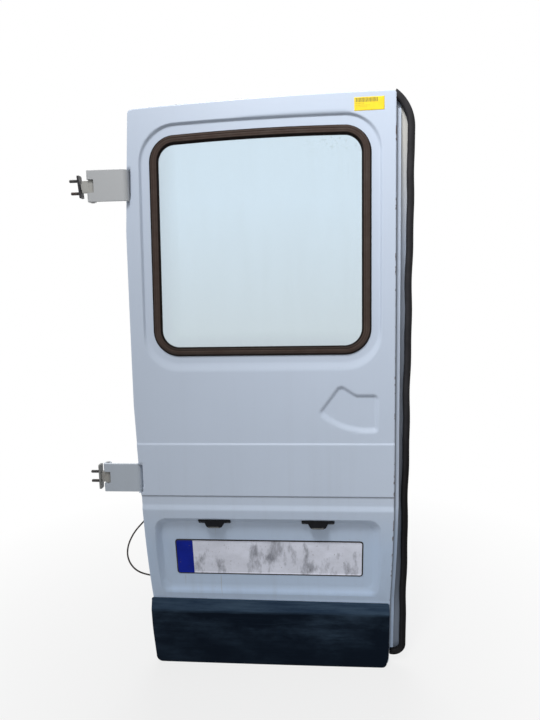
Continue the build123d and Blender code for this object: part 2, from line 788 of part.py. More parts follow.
# Hinges, each an arm bent into the door, its pin, and a bracket with two studs that turns on the pin
for name, hinge_z in hinge_heights.items():
    with BuildPart() as arm:
        with BuildSketch(Plane.XY.offset(hinge_z - arm_h / 2)) as arm_section:
            with BuildLine():
                FilletPolyline(
                    (pin_x, arm_face_y), (arm_leg_x, arm_face_y), (arm_leg_x, arm_face_y + arm_leg_depth),
                    radius=arm_bend_r,
                )
                FilletPolyline(
                    (pin_x, arm_face_y + arm_t), (arm_leg_x - arm_t, arm_face_y + arm_t),
                    (arm_leg_x - arm_t, arm_face_y + arm_leg_depth),
                    radius=arm_bend_r - arm_t,
                )
                Line((pin_x, arm_face_y), (pin_x, arm_face_y + arm_t))
                Line(
                    (arm_leg_x, arm_face_y + arm_leg_depth), (arm_leg_x - arm_t, arm_face_y + arm_leg_depth)
                )
            make_face()
            with BuildLine():
                Polyline(
                    (pin_x - eye_r + eye_chamfer, arm_face_y), (pin_x + eye_r, arm_face_y),
                    (pin_x + eye_r, 0), (pin_x - eye_r, 0), (pin_x - eye_r, arm_face_y + eye_chamfer),
                    close=True,
                )
            make_face()
            with Locations((pin_x, 0)):
                Circle(eye_r)
                Circle(pin_d / 2, mode=Mode.SUBTRACT)
        extrude(amount=arm_h)
        arm_ends = arm.faces().filter_by(Axis.Z)
        fillet(arm_ends.edges().filter_by(GeomType.LINE).filter_by(Axis.X), arm_edge_r)
        with Locations((pin_x + knuckle_r + knuckle_gap, 0, hinge_z)):
            Box(
                far_depth, far_depth, knuckle_h + 2 * knuckle_gap,
                align=(Align.MAX, Align.CENTER, Align.CENTER), mode=Mode.SUBTRACT,
            )
    finish(arm.part, f"{name}_hinge_arm")

    with BuildPart() as pin:
        with Locations((pin_x, 0, hinge_z)):
            Cylinder(pin_d / 2, arm_h)
        for end in (-1, 1):
            with Locations((pin_x, 0, hinge_z + end * (arm_h + pin_head_t) / 2)):
                Cylinder(pin_head_r, pin_head_t)
    finish(pin.part, f"{name}_hinge_pin")

    face = bracket_plane(name)
    stud_rise = stud_spacings[name] / 2 / face.y_dir.Z
    stud_rows = [
        (face.from_local_coords((0, side * stud_rise, 0)), end)
        for side, end in ((1, "top"), (-1, "bottom"))
    ]
    with BuildPart() as bracket:
        with BuildSketch(face):
            RectangleRounded(bracket_w, bracket_heights[name], bracket_corner_r)
        extrude(amount=-bracket_t)
        neck_start = face.origin.X + bracket_t / 2
        for start_x, height in ((neck_start, neck_root_h), (neck_start + bracket_t / 2 + neck_gap, neck_h)):
            with Locations((start_x, 0, hinge_z)):
                Box(pin_x - start_x, neck_w, height, align=(Align.MIN, Align.CENTER, Align.CENTER))
        with Locations((pin_x, 0, hinge_z)):
            Cylinder(knuckle_r, knuckle_h)
            Cylinder(pin_d / 2 + pin_clearance, arm_h, mode=Mode.SUBTRACT)
        for foot, end in stud_rows:
            for diameter, depth in ((stud_root_d, stud_sink), (seat_d, seat_depth)):
                with Locations(Plane(origin=(foot.X + depth, 0, foot.Z), z_dir=(-1, 0, 0))):
                    Cylinder(
                        diameter / 2, bracket_t + depth,
                        align=(Align.CENTER, Align.CENTER, Align.MIN), mode=Mode.SUBTRACT,
                    )
    finish(bracket.part, f"{name}_hinge_bracket")

    for foot, end in stud_rows:
        with BuildPart() as stud:
            with Locations(Plane(origin=(foot.X + stud_sink, 0, foot.Z), z_dir=(-1, 0, 0))):
                Cylinder(
                    stud_root_d / 2, stud_length + stud_sink, align=(Align.CENTER, Align.CENTER, Align.MIN)
                )
            with Locations(Plane(origin=(foot.X + stud_shoulder, 0, foot.Z), z_dir=(-1, 0, 0))):
                Cylinder(
                    stud_d / 2, stud_length + stud_shoulder, align=(Align.CENTER, Align.CENTER, Align.MIN)
                )
            chamfer(stud.faces().sort_by(Axis.X)[0].edges(), stud_chamfer)
        finish(stud.part, f"{name}_stud_{end}")

    with BuildPart() as reinforcement:
        cavity = side_lump(reinforcement_gap, 0.0, arm_leg_x)
        before_foot = side_lump(-far_depth / 2, -reinforcement_t, arm_leg_x)
        extrude(cavity, amount=reinforcement_foot)
        extrude(before_foot, amount=reinforcement_foot, mode=Mode.SUBTRACT)
        extrude(cavity, amount=reinforcement_t)
        with Locations((arm_leg_x, 0, hinge_z)):
            Box(
                3 * reinforcement_foot, 2 * far_depth, reinforcement_h,
                align=(Align.CENTER, Align.CENTER, Align.CENTER), mode=Mode.INTERSECT,
            )
        inside = door_outline(skin_t + inner_t)
        extrude(inside, amount=far_depth, both=True, mode=Mode.INTERSECT)
    finish(reinforcement.part, f"{name}_hinge_reinforcement")

# Cable loop that leaves the hinge side wall through one grommet and comes back through another
wall_x = edge_left_low_x + skin_t
cable_route = [
    (117, 30, -130), (99, 30.5, -149), (80, 32, -170), (64, 34, -195), (52.5, 37, -222),
    (48.5, 40, -250), (54, 44, -277), (69, 48, -299), (91, 51.5, -312), (117, 54, -318),
]
cable_points = [Vector(*point) for point in cable_route]
cable_runs = [after - before for before, after in zip(cable_points, cable_points[1:])]
cable_radii = [
    0.45 * min(run.length, after.length) / math.tan(math.radians(run.get_angle(after) / 2))
    for run, after in zip(cable_runs, cable_runs[1:])
]
print("cable bend radii", [round(radius, 1) for radius in cable_radii])
with BuildPart() as cable_loop:
    with BuildLine() as cable_path:
        FilletPolyline(*cable_points, radius=cable_radii)
    cable_line = cable_path.wire()
    with BuildSketch(Plane(origin=cable_line @ 0, z_dir=cable_line % 0)):
        Circle(cable_d / 2)
    sweep(path=cable_line)
cable_volume = cable_line.length * math.pi * cable_d ** 2 / 4
print("cable length", cable_line.length, "volume ratio", cable_loop.part.volume / cable_volume)
finish(cable_loop.part, "cable_loop")

for name, end_point in (("upper", cable_points[0]), ("lower", cable_points[-1])):
    with BuildPart() as grommet:
        with Locations(Plane(origin=(wall_x, end_point.Y, end_point.Z), z_dir=(-1, 0, 0))):
            Cylinder(grommet_r, grommet_t, align=(Align.CENTER, Align.CENTER, Align.MIN))
    finish(grommet.part, f"{name}_cable_grommet")

# Latches, their rods and the release lever, all on the inner face of the land
latch_plane = land_plane.offset(-inner_t)
latch_spans = {"upper": (latch_top_z - latch_h, latch_top_z), "lower": (latch_low_z, latch_low_z + latch_h)}
lever_span = (lever_mid_z - lever_h / 2, lever_mid_z + lever_h / 2)
for name, (low, high) in latch_spans.items():
    with BuildPart() as latch:
        with BuildSketch(latch_plane):
            with Locations((latch_x, (low + high) / 2)):
                RectangleRounded(latch_w, high - low, latch_corner_r)
        extrude(amount=-latch_t)
        fillet(latch.faces().sort_by(inward)[-1].edges(), latch_edge_r)
    finish(latch.part, f"{name}_latch")

rod_spans = {
    "upper": (lever_span[1], latch_spans["upper"][0]),
    "lower": (latch_spans["lower"][1], lever_span[0]),
}
for name, (low, high) in rod_spans.items():
    rod_foot = latch_plane.from_local_coords((latch_x, low, -rod_depth))
    with BuildPart() as rod:
        with Locations(Plane(origin=rod_foot, z_dir=latch_plane.y_dir)):
            Cylinder(rod_d / 2, high - low, align=(Align.CENTER, Align.CENTER, Align.MIN))
    finish(rod.part, f"{name}_lock_rod")

with BuildPart() as release_lever:
    with BuildSketch(latch_plane):
        with Locations((latch_x, lever_mid_z)):
            RectangleRounded(latch_w, lever_h, latch_corner_r)
    extrude(amount=-lever_base_t)
    fillet(release_lever.faces().sort_by(inward)[-1].edges(), latch_edge_r)
    with BuildSketch(latch_plane.offset(-lever_base_t)):
        with Locations((latch_x, lever_mid_z)):
            RectangleRounded(lever_w, lever_reach, lever_corner_r)
    extrude(amount=-lever_t)
    fillet(release_lever.faces().sort_by(inward)[-1].edges(), latch_edge_r)
finish(release_lever.part, "release_lever")
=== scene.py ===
"""Looks of a van's rear barn door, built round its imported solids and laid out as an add-on."""
import math

import bmesh
import bpy
import numpy as np
from mathutils import Matrix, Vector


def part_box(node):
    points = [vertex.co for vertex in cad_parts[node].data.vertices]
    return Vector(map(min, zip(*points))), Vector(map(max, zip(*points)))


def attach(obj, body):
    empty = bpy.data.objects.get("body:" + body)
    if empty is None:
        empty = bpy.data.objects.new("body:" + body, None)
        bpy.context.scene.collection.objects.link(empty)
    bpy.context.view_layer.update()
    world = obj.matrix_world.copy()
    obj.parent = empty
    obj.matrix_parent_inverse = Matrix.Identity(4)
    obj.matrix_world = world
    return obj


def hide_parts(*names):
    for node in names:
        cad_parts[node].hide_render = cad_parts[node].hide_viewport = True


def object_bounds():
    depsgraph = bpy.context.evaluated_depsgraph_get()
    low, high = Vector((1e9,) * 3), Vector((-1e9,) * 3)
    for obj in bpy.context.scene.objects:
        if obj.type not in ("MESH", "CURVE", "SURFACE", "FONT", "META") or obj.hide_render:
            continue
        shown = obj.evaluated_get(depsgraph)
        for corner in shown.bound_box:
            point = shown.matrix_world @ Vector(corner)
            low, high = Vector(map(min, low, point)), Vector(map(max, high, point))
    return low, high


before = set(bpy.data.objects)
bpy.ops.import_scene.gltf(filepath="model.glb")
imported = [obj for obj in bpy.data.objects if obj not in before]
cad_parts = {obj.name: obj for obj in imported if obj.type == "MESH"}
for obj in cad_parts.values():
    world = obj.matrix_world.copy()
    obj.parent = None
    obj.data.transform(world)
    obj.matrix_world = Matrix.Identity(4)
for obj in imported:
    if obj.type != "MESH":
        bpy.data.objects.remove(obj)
cad_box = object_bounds()

bl_info = {
    "name": "Van Rear Barn Door",
    "version": (1, 0, 0),
    "blender": (4, 5, 0),
    "location": "View3D > Sidebar > Barn Door",
    "description": "Builds the finished surfaces and materials of a weathered van rear door",
    "category": "Object",
}

MM = 0.001
LEAF = "door_leaf"
PILLAR = "pillar_brackets"

# Lengths are in millimetres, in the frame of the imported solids. Side lines are (height, depth) points.
MIDDLE = 452.75
SKIN_RIGHT, SKIN_LOW, SKIN_TOP = 793.0, -575.0, 974.0
SKIN_LEFT_EDGE = ((-100.0, 200.0, 650.0, 955.0), (118.0, 107.0, 107.0, 121.5))
SKIN_TOP_EDGE = ((121.5, 955.0), (457.25, 970.5), (793.0, 974.0))
SIDE_LINE = (
    (-620.0, 50.0), (-575.0, 50.0), (-373.0, 40.0), (-88.0, -17.0), (-75.0, -12.5), (-51.5, -12.5),
    (-47.5, -16.5), (92.5, -16.5), (97.0, -14.0), (99.0, -14.0),
)
TUCK = ((-373.0, 40.0), (-230.5, 4.8), (-88.0, -17.0))
CHEST = ((99.0, -14.0), (563.0, -4.0), (1014.0, 14.8))
HINGE_HEIGHTS = (0.0, 766.0)
SLOT_X, SLOT_MOUTH, SLOT_HALF = 124.5, 111.0, 39.8
WINDOW_CORNERS = ((172.5, 889.0), (168.0, 328.5), (733.0, 328.5), (733.0, 900.0))
WINDOW_TOP_MIDDLE = (450.5, 899.0)
WINDOW_RADIUS = 68.0
FIELD_SINK = 5.0
HAND_CORNERS = (
    (652.3, 250.7), (596.0, 175.0), (656.2, 124.2), (750.5, 124.2), (750.5, 223.5), (694.0, 223.5),
)
HAND_RADII = (14.0, 12.0, 184.0, 12.0, 13.0, 16.0)
HAND_LIFT, HAND_WALL, HAND_SINK = 4.0, 9.0, 6.0
HAND_LEFT, HAND_LOW, HAND_TOP, HAND_FAR = 570.0, 90.0, 285.0, 60.0
# Boxes are left, right, low and top, and the radii of their low and top corners.
FLOOR_BOX = (161.5, 741.5, -332.0, -133.0, 20.0, 30.0)
MOUTH_BOX = (150.5, 758.5, -364.0, -116.0, 20.0, 34.0)
PLATE_BOX = (196.25, 716.25, -297.0, -187.0, 9.0, 9.0)
TRIM_LEFT, TRIM_RIGHT, TRIM_LOW, TRIM_TOP = 114.5, 791.0, -578.0, -373.0


# Distances and blends

def unit(vector):
    """Vector of length 1."""
    return np.asarray(vector, float) / np.linalg.norm(vector)


def flat(value):
    """Function that is the same value everywhere."""
    return lambda t: value + 0.0 * t


def smooth_step(t):
    """Rise from 0 to 1 with level ends: three t squared less two t cubed."""
    t = np.clip(t, 0.0, 1.0)
    return t * t * (3.0 - 2.0 * t)


def smooth_max(a, b, reach):
    """Greater of a and b, rounded over reach: the plain maximum plus a quarter of the overlap squared."""
    overlap = np.clip(reach - np.abs(a - b), 0.0, None)
    return np.maximum(a, b) + overlap * overlap / (4.0 * reach)


def smoothed(values, count):
    """Values averaged over count neighbours, weighted by a raised cosine."""
    kernel = np.hanning(count)
    return np.convolve(np.pad(values, count // 2, mode="edge"), kernel / kernel.sum(), mode="valid")


def parabola(t, a, b, c):
    """Parabola through three points, as the sum of the three products that vanish at the other two."""
    return (
        a[1] * (t - b[0]) * (t - c[0]) / ((a[0] - b[0]) * (a[0] - c[0]))
        + b[1] * (t - a[0]) * (t - c[0]) / ((b[0] - a[0]) * (b[0] - c[0]))
        + c[1] * (t - a[0]) * (t - b[0]) / ((c[0] - a[0]) * (c[0] - b[0]))
    )


def box_distance(x, z, left, right, low, top, radius_low, radius_top):
    """Signed distance to a rounded rectangle: the usual corner formula, with one radius for each end."""
    radius = np.where(z > (low + top) / 2, radius_top, radius_low)
    across = np.maximum(left - x, x - right) + radius
    along = np.maximum(low - z, z - top) + radius
    outside = np.hypot(np.maximum(across, 0.0), np.maximum(along, 0.0))
    return outside + np.minimum(np.maximum(across, along), 0.0) - radius


def outline_distance(x, z, path):
    """Signed distance to a closed line of points: the least distance to its sides, negative inside it.

    A point is inside where a level ray from it crosses an odd number of sides.
    """
    x, z = x[..., None], z[..., None]
    ahead = np.roll(path, -1, axis=0)
    run = ahead - path
    from_x, from_z = x - path[:, 0], z - path[:, 1]
    share = np.clip((from_x * run[:, 0] + from_z * run[:, 1]) / np.sum(run * run, axis=1), 0.0, 1.0)
    least = np.hypot(from_x - share * run[:, 0], from_z - share * run[:, 1]).min(axis=-1)
    rise = np.where(run[:, 1] == 0.0, 1e-9, run[:, 1])
    crossed = ((path[:, 1] > z) != (ahead[:, 1] > z)) & (from_x < run[:, 0] * from_z / rise)
    return np.where(crossed.sum(axis=-1) % 2 == 1, -least, least)


def lines(*stops):
    """Grid lines between stops given as (from, step) pairs and a last value."""
    ends = [stop[0] for stop in stops[1:-1]] + [stops[-1]]
    runs = [
        np.linspace(a, b, max(2, int(round(abs(b - a) / step)) + 1))[:-1]
        for (a, step), b in zip(stops[:-1], ends)
    ]
    return np.concatenate(runs + [[stops[-1]]])


def rounded_path(corners, radii, bulges, count):
    """Closed line round a polygon with filleted corners, as count even points, and the normals out of it.

    Each side may bulge out by a parabola of its own height, four t times one less t.
    """
    corners = np.asarray(corners, float)
    runs = []
    for before, here, after, radius, bulge in zip(
        np.roll(corners, 1, axis=0), corners, np.roll(corners, -1, axis=0), radii, bulges
    ):
        come, leave = unit(before - here), unit(after - here)
        half = math.acos(np.clip(np.dot(come, leave), -1, 1)) / 2
        centre = here + unit(come + leave) * radius / math.sin(half)
        turn = np.linspace(0.0, math.pi - 2 * half, 25)[:, None]
        spoke = here + come * radius / math.tan(half) - centre
        runs.append(centre + np.cos(turn) * spoke - np.sin(turn) * come * radius)
        share = np.linspace(0.0, 1.0, 60)[1:-1, None]
        start = here + leave * radius / math.tan(half)
        span = np.linalg.norm(after - here) - 2 * radius / math.tan(half)
        out = np.array([leave[1], -leave[0]])
        runs.append(start + leave * span * share + out * bulge * 4 * share * (1 - share))
    line = np.concatenate(runs)
    step = np.linalg.norm(np.roll(line, -1, axis=0) - line, axis=1)
    length = np.concatenate([[0.0], np.cumsum(step)])
    at = np.linspace(0.0, length[-1], count, endpoint=False)
    line = np.vstack([line, line[:1]])
    even = np.stack([np.interp(at, length, line[:, 0]), np.interp(at, length, line[:, 1])], axis=1)
    tangent = np.roll(even, -1, axis=0) - np.roll(even, 1, axis=0)
    tangent /= np.linalg.norm(tangent, axis=1)[:, None]
    return even, np.stack([tangent[:, 1], -tangent[:, 0]], axis=1)


class Frame2:
    """Flat frame in space: a start, a direction across, one up and the normal, which is their product."""

    def __init__(self, start, across, up):
        self.start = np.asarray(start, float)
        self.across, self.up = unit(across), unit(up)
        self.normal = np.cross(self.across, self.up)

    def place(self, u, v, out):
        """Points at u across, v up and out along the normal."""
        u, v, out = (a[..., None] for a in np.broadcast_arrays(u, v, out))
        return (self.start + u * self.across + v * self.up + out * self.normal).reshape(-1, 3)


class Slope:
    """Plane that leans across the door: its depth by height is a line through two (height, depth) points."""

    def __init__(self, low, high):
        self.low = low
        self.rise = (high[1] - low[1]) / (high[0] - low[0])
        self.stretch = math.hypot(1.0, self.rise)

    def depth(self, z):
        """Depth at height z."""
        return self.low[1] + self.rise * (z - self.low[0])

    def frame(self, sink=0.0):
        """Flat frame on the plane, moved in by sink, with its normal pointing out."""
        plane = Frame2((0.0, self.low[1] - self.rise * self.low[0], 0.0), (1, 0, 0), (0, self.rise, 1))
        plane.start = plane.start - sink * plane.normal
        return plane


FIELD = Slope((288.0, -11.3), (922.0, 11.7))
CHORD = Slope((95.0, -14.0), (563.0, -4.0))
RECESS = Slope((-330.0, 34.0), (-133.0, 7.4))
MOUTH = Slope((-360.0, 35.0), (-116.0, -13.5))
FACE = Frame2((0, 0, 0), (1, 0, 0), (0, 0, 1))
WINDOW = FIELD.frame(FIELD_SINK)
LAND = Slope((0.0, 40.0 + 0.0248 * SKIN_TOP), (SKIN_TOP, 40.0)).frame()
PLATE = RECESS.frame()


# The door's own curves

def top_edge(x):
    """Height of the skin's upper edge: the parabola through its two corners and its middle."""
    return parabola(x, *SKIN_TOP_EDGE)


def left_edge(z):
    """X of the skin's hinge side edge: straight runs between four heights."""
    return np.interp(z, *SKIN_LEFT_EDGE)


def side_table():
    """Table of the skin's depth by height: two parabolas and the belt's steps, averaged over a few mm."""
    z = np.arange(-620.0, 1030.0, 0.5)
    depth = np.interp(z, *np.transpose(SIDE_LINE))
    depth = np.where((z > TUCK[0][0]) & (z < TUCK[2][0]), parabola(z, *TUCK), depth)
    depth = np.where(z > CHEST[0][0], parabola(z, *CHEST), depth)
    return z, smoothed(depth, 9)


SIDE_TABLE = side_table()
HAND_PATH = rounded_path(HAND_CORNERS, HAND_RADII, (0.0,) * 6, 240)[0]


def window_distance(x, z, grow, low_extra=0.0):
    """Signed distance to the window rubber's outline, grown by grow and by low_extra more at the bottom."""
    top_left, low_left, low_right, top_right = WINDOW_CORNERS
    left = np.interp(z, (low_left[1], top_left[1]), (low_left[0], top_left[0])) - grow
    top = parabola(x, top_left, WINDOW_TOP_MIDDLE, top_right) + grow
    low = low_left[1] - grow - low_extra
    radius = WINDOW_RADIUS + grow
    return box_distance(x, z, left, low_right[0] + grow, low, top, radius, radius)


def hand_distance(x, z):
    """Signed distance to the hand recess's outline, worked out near it and held at a far value elsewhere."""
    near = (x > HAND_LEFT) & (z > HAND_LOW) & (z < HAND_TOP)
    distance = np.full(x.shape, HAND_FAR)
    distance[near] = outline_distance(x[near], z[near], HAND_PATH)
    return distance


def plate_inside(u, v):
    """How far points of the recess's plane are inside the plate's outline."""
    return -box_distance(u, v, *PLATE_BOX)


def sunken(depth, floor, rim, floor_distance, rim_distance, run, reach, foot=0.3):
    """Skin pressed in: a ramp from floor to rim, by share of the two outlines' distances, joined to depth.

    Outside the rim the ramp leaves the metal at the same slope, so that the greater depth is the skin.
    """
    ring = floor_distance / np.maximum(floor_distance - rim_distance, 1e-6)
    share = np.where(rim_distance > 0.0, 1.0, np.where(floor_distance < 0.0, 0.0, ring))
    ramp = floor + (rim - floor) * smooth_max(share, 0.0, foot) - np.maximum(rim_distance, 0.0) * run
    return smooth_max(depth, ramp, reach)


def skin_depth(x, z):
    """Depth of the outer skin: its side line, with the window field, hand and plate recesses pressed in."""
    depth = np.interp(z, *SIDE_TABLE)
    rim = FIELD.depth(z)
    inner, outer = window_distance(x, z, 20.3, -2.8), window_distance(x, z, 24.0, 16.0)
    depth = sunken(depth, rim + FIELD_SINK, rim, inner, outer, 1.4, 0.8)
    rim = CHORD.depth(z)
    inner, outer = hand_distance(x, z - HAND_LIFT) + HAND_WALL, hand_distance(x, z)
    depth = sunken(depth, rim + HAND_SINK, rim, inner, outer, 0.7, 1.6)
    inner = box_distance(x, z * RECESS.stretch, *FLOOR_BOX)
    outer = box_distance(x, z * MOUTH.stretch, *MOUTH_BOX)
    return sunken(depth, RECESS.depth(z), MOUTH.depth(z), inner, outer, 1.0, 0.9, 0.09)


# Meshes

def quads(rows, columns, closed=False):
    """Corner numbers of the cells of a grid kept row by row. Closed joins the last column to the first."""
    index = np.arange(rows * columns).reshape(rows, columns)
    if closed:
        index = np.hstack([index, index[:, :1]])
    cells = [index[:-1, :-1], index[:-1, 1:], index[1:, 1:], index[1:, :-1]]
    return np.stack(cells, axis=-1).reshape(-1, 4)


def joined(*patches):
    """Several (points, faces) patches as one."""
    starts = np.cumsum([0] + [len(points) for points, faces in patches])
    points = np.concatenate([points for points, faces in patches])
    faces = np.concatenate([faces + start for start, (_, faces) in zip(starts, patches)])
    return points, faces


def make_piece(name, patch, material, replaced=None, wear_and_shade=None, body=LEAF):
    """Object from a patch in millimetres: points welded, faces smooth, riding on its body."""
    points, faces = patch
    mesh = bpy.data.meshes.new(name)
    mesh.from_pydata((points * MM).tolist(), [], faces.tolist())
    shell = bmesh.new()
    shell.from_mesh(mesh)
    bmesh.ops.remove_doubles(shell, verts=shell.verts, dist=2e-6)
    loose = [v for v in shell.verts if not v.link_faces]
    bmesh.ops.delete(shell, geom=loose, context="VERTS")
    shell.to_mesh(mesh)
    shell.free()
    mesh.polygons.foreach_set("use_smooth", np.ones(len(mesh.polygons), bool))
    if wear_and_shade is not None:
        co = np.empty(len(mesh.vertices) * 3)
        mesh.vertices.foreach_get("co", co)
        values = np.asarray(wear_and_shade(*(co.reshape(-1, 3) / MM).T), np.float32)
        mesh.attributes.new("wear_and_shade", "FLOAT", "POINT").data.foreach_set("value", values)
    mesh.materials.append(material)
    piece = bpy.data.objects.new(name, mesh)
    bpy.context.scene.collection.objects.link(piece)
    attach(piece, body)
    if replaced:
        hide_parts(replaced)
    return piece


def sheet_wall(piece, thickness):
    """Give a pressed sheet its thickness, behind its outer face."""
    wall = piece.modifiers.new("wall", "SOLIDIFY")
    wall.thickness = thickness * MM
    wall.offset = -1.0
    wall.use_even_offset = False


def corner_inset(distance, radius):
    """How far a rounded corner draws a line in, at a distance from the edge: the circle's own gap."""
    rest = np.clip(radius - distance, 0.0, radius)
    return radius - np.sqrt(np.maximum(radius * radius - rest * rest, 0.0))


def pressed_panel(plane, columns, rows, left, right, top, radii, height, edge, hem, keep=None):
    """Sheet over a rounded outline: a grid drawn to its edges, its height from a function, and a rolled rim.

    Columns and rows are lines of the grid. Near the sides the columns follow left(v) and right(v), and near
    the top the rows follow top(u). Radii are those of the low left, low right, top right and top left
    corners. The rim is a quarter circle of radius edge and a straight return of depth hem.
    """
    u, v = np.meshgrid(columns, rows)
    low, fade_v, fade_u = rows[0], 60.0, 33.0
    v = v + smooth_step((v - rows[-1] + fade_v) / fade_v) * (top(u) - rows[-1])
    v = low + edge + (v - low) * ((top(u) - low - 2 * edge) / (top(u) - low))
    fade_left = np.clip((columns[0] + fade_u - u) / fade_u, 0.0, 1.0)
    fade_right = np.clip((u - columns[-1] + fade_u) / fade_u, 0.0, 1.0)
    from_low = v - low - edge
    from_top = top(u) - edge - v
    inset_left = corner_inset(from_low, radii[0] - edge) + corner_inset(from_top, radii[3] - edge)
    inset_right = corner_inset(from_low, radii[1] - edge) + corner_inset(from_top, radii[2] - edge)
    moved = fade_left * (left(v) + edge + inset_left - columns[0])
    u = u + moved - fade_right * (columns[-1] - right(v) + edge + inset_right)
    out = height(u, v)

    def kept(cells, u, v):
        if keep is None:
            return cells
        return cells[keep(*(a.reshape(-1)[cells].mean(axis=1) for a in (u, v)))]

    def loop(a):
        return np.concatenate([a[0, :-1], a[:-1, -1], a[-1, :0:-1], a[:0:-1, 0]])

    lu, lv, lo = loop(u), loop(v), loop(out)
    across = np.roll(lv, -1) - np.roll(lv, 1)
    along = np.roll(lu, 1) - np.roll(lu, -1)
    size = np.hypot(across, along)
    turn = np.linspace(0.0, math.pi / 2, 6)
    reach = np.append(edge * np.sin(turn), edge)[:, None]
    back = np.append(edge * (1.0 - np.cos(turn)), edge + hem)[:, None]
    rim_u = lu + reach * across / size
    rim_v = lv + reach * along / size
    rim_cells = kept(quads(*rim_u.shape, closed=True)[:, ::-1], rim_u, rim_v)
    face = plane.place(u, v, out), kept(quads(*u.shape), u, v)
    return joined(face, (plane.place(rim_u, rim_v, lo - back), rim_cells))


def carried_round(plane, path, normals, profile):
    """Profile carried round a closed flat path: (grow, out) pairs move it along its normals and out."""
    grow, out = np.asarray(profile, float).T[:, :, None]
    u, v = (path[:, axis] + grow * normals[:, axis] for axis in (0, 1))
    return plane.place(u, v, out), quads(len(grow), len(path), closed=True)


def stacked_rings(plane, at, rings, count):
    """Solid of rounded rectangles stacked out from a plane: (half width, half height, corner, out) rings.

    They are centred at a distance across the plane. The end rings are drawn to their middle, to close them.
    """
    angle = np.linspace(0.0, 2 * math.pi, count, endpoint=False) + math.pi / count
    half_w, half_h, corner, out = np.asarray(rings, float).T[:, :, None]
    corner = np.minimum(corner, np.minimum(half_w, half_h))
    side_u, side_v = np.cos(angle), np.sin(angle)
    u = np.sign(side_u) * (half_w - corner) + corner * side_u
    v = np.sign(side_v) * (half_h - corner) + corner * side_v
    u = np.vstack([0.0 * u[:1], u, 0.0 * u[:1]]) + at
    v = np.vstack([0.0 * v[:1], v, 0.0 * v[:1]])
    out = np.vstack([out[:1], out, out[-1:]])
    return plane.place(u, v, out), quads(len(out), count, closed=True)


def rounded_stack(half_w, half_h, corner, low, high, edge):
    """Rings of a block with a rounded upper edge: a quarter circle of radius edge from wall to top."""
    turn = np.linspace(0.0, math.pi / 2, 5)
    draw = edge * (1.0 - np.cos(turn))
    rise = high - edge + edge * np.sin(turn)
    rings = [(half_w, half_h, corner, low)]
    return rings + [(half_w - d, half_h - d, max(corner - d, 0.2), r) for d, r in zip(draw, rise)]


def round_rings(*pairs):
    """Rings of a turned solid, from (radius, out) pairs."""
    return [(radius, radius, radius, out) for radius, out in pairs]


def slot_edge(height):
    """Edge of a hinge slot turned in: a thin closed section carried along the slot's three sides."""
    run = np.linspace(0.0, 1.0, 13)
    deep = SLOT_X - SLOT_MOUTH
    x = np.concatenate([SLOT_MOUTH + deep * run, np.full(11, SLOT_X), SLOT_X - deep * run])
    z = np.concatenate([np.full(12, 1.0), 1.0 - 2.0 * run, np.full(12, -1.0)]) * SLOT_HALF + height
    normal_x = np.concatenate([np.zeros(12), np.ones(13), np.zeros(12)])[:, None]
    normal_z = np.concatenate([np.ones(13), np.zeros(11), -np.ones(13)])[:, None]
    grow = np.array((0.0, 0.0, 1.2, 1.2))
    depth = skin_depth(x, z)[:, None] + np.array((0.3, 12.5, 12.5, 0.3))
    points = np.stack([x[:, None] + grow * normal_x, depth, z[:, None] + grow * normal_z], axis=-1)
    last = 4 * len(x) - 4
    ends = np.array([(3, 2, 1, 0), (last, last + 1, last + 2, last + 3)])
    return points.reshape(-1, 3), np.concatenate([quads(len(x), 4, closed=True), ends])


# Materials. Positions in them are in metres, as object coordinates are.

# Painted shade: a bluish tint that low surfaces get, in place of cool shade.
PAINTED_COOL_SHADE = (0.905, 0.985, 1.06)
# Painted highlight: paler tint for the recess's lower ledge.
PAINTED_LEDGE_HIGHLIGHT = (1.18, 1.2, 1.23)
ROAD_GRIME = (0.23, 0.225, 0.215)
RUST_RUN = (0.27, 0.215, 0.13)
GROOVE_SHADE = (0.12, 0.13, 0.15)
DARK_SPECK = (0.16, 0.15, 0.14)
CHIP_COLOURS = ((0.035, 0.03, 0.03), (0.15, 0.075, 0.04))
PANEL_SMEAR = (0.2, 0.19, 0.175)
# Painted shade colours for the gap behind the skin's edge and the channel by the seal.
CHANNEL_SHADE_COLOURS = ((0.045, 0.05, 0.066), (0.1, 0.105, 0.125))
# Paler beige beside the seal towards the top.
BEIGE_BESIDE_SEAL = (0.56, 0.54, 0.48)
BRACKET_RUST = ((0.09, 0.045, 0.025), (0.22, 0.13, 0.08))
METAL_RUST = ((0.07, 0.028, 0.013), (0.2, 0.08, 0.03))
# Glass: painted sky reflection low down, painted shade at the rims, dust film and glue flecks.
PANE_SKY_REFLECTION_LOW, PANE_RIM_SHADE, PANE_FILM, PANE_FLECK = (
    (0.59, 0.675, 0.72), (0.47, 0.54, 0.6), (0.4, 0.45, 0.48), (0.36, 0.41, 0.42),
)
LENS_COLOURS = ((0.26, 0.27, 0.27), (0.12, 0.12, 0.11))
RUBBER_DUST = (0.10, 0.083, 0.072)
PLATE_SMEAR, PLATE_BORDER, PLATE_SPECK = (0.17, 0.175, 0.21), (0.03, 0.028, 0.03), (0.12, 0.1, 0.09)
PLATE_BAND_END = 0.2455
DOOR_FOOT = (0.45, 0.05, -0.578)


def tone(colour, gain):
    """Colour brightened by gain."""
    return [c * gain for c in colour]


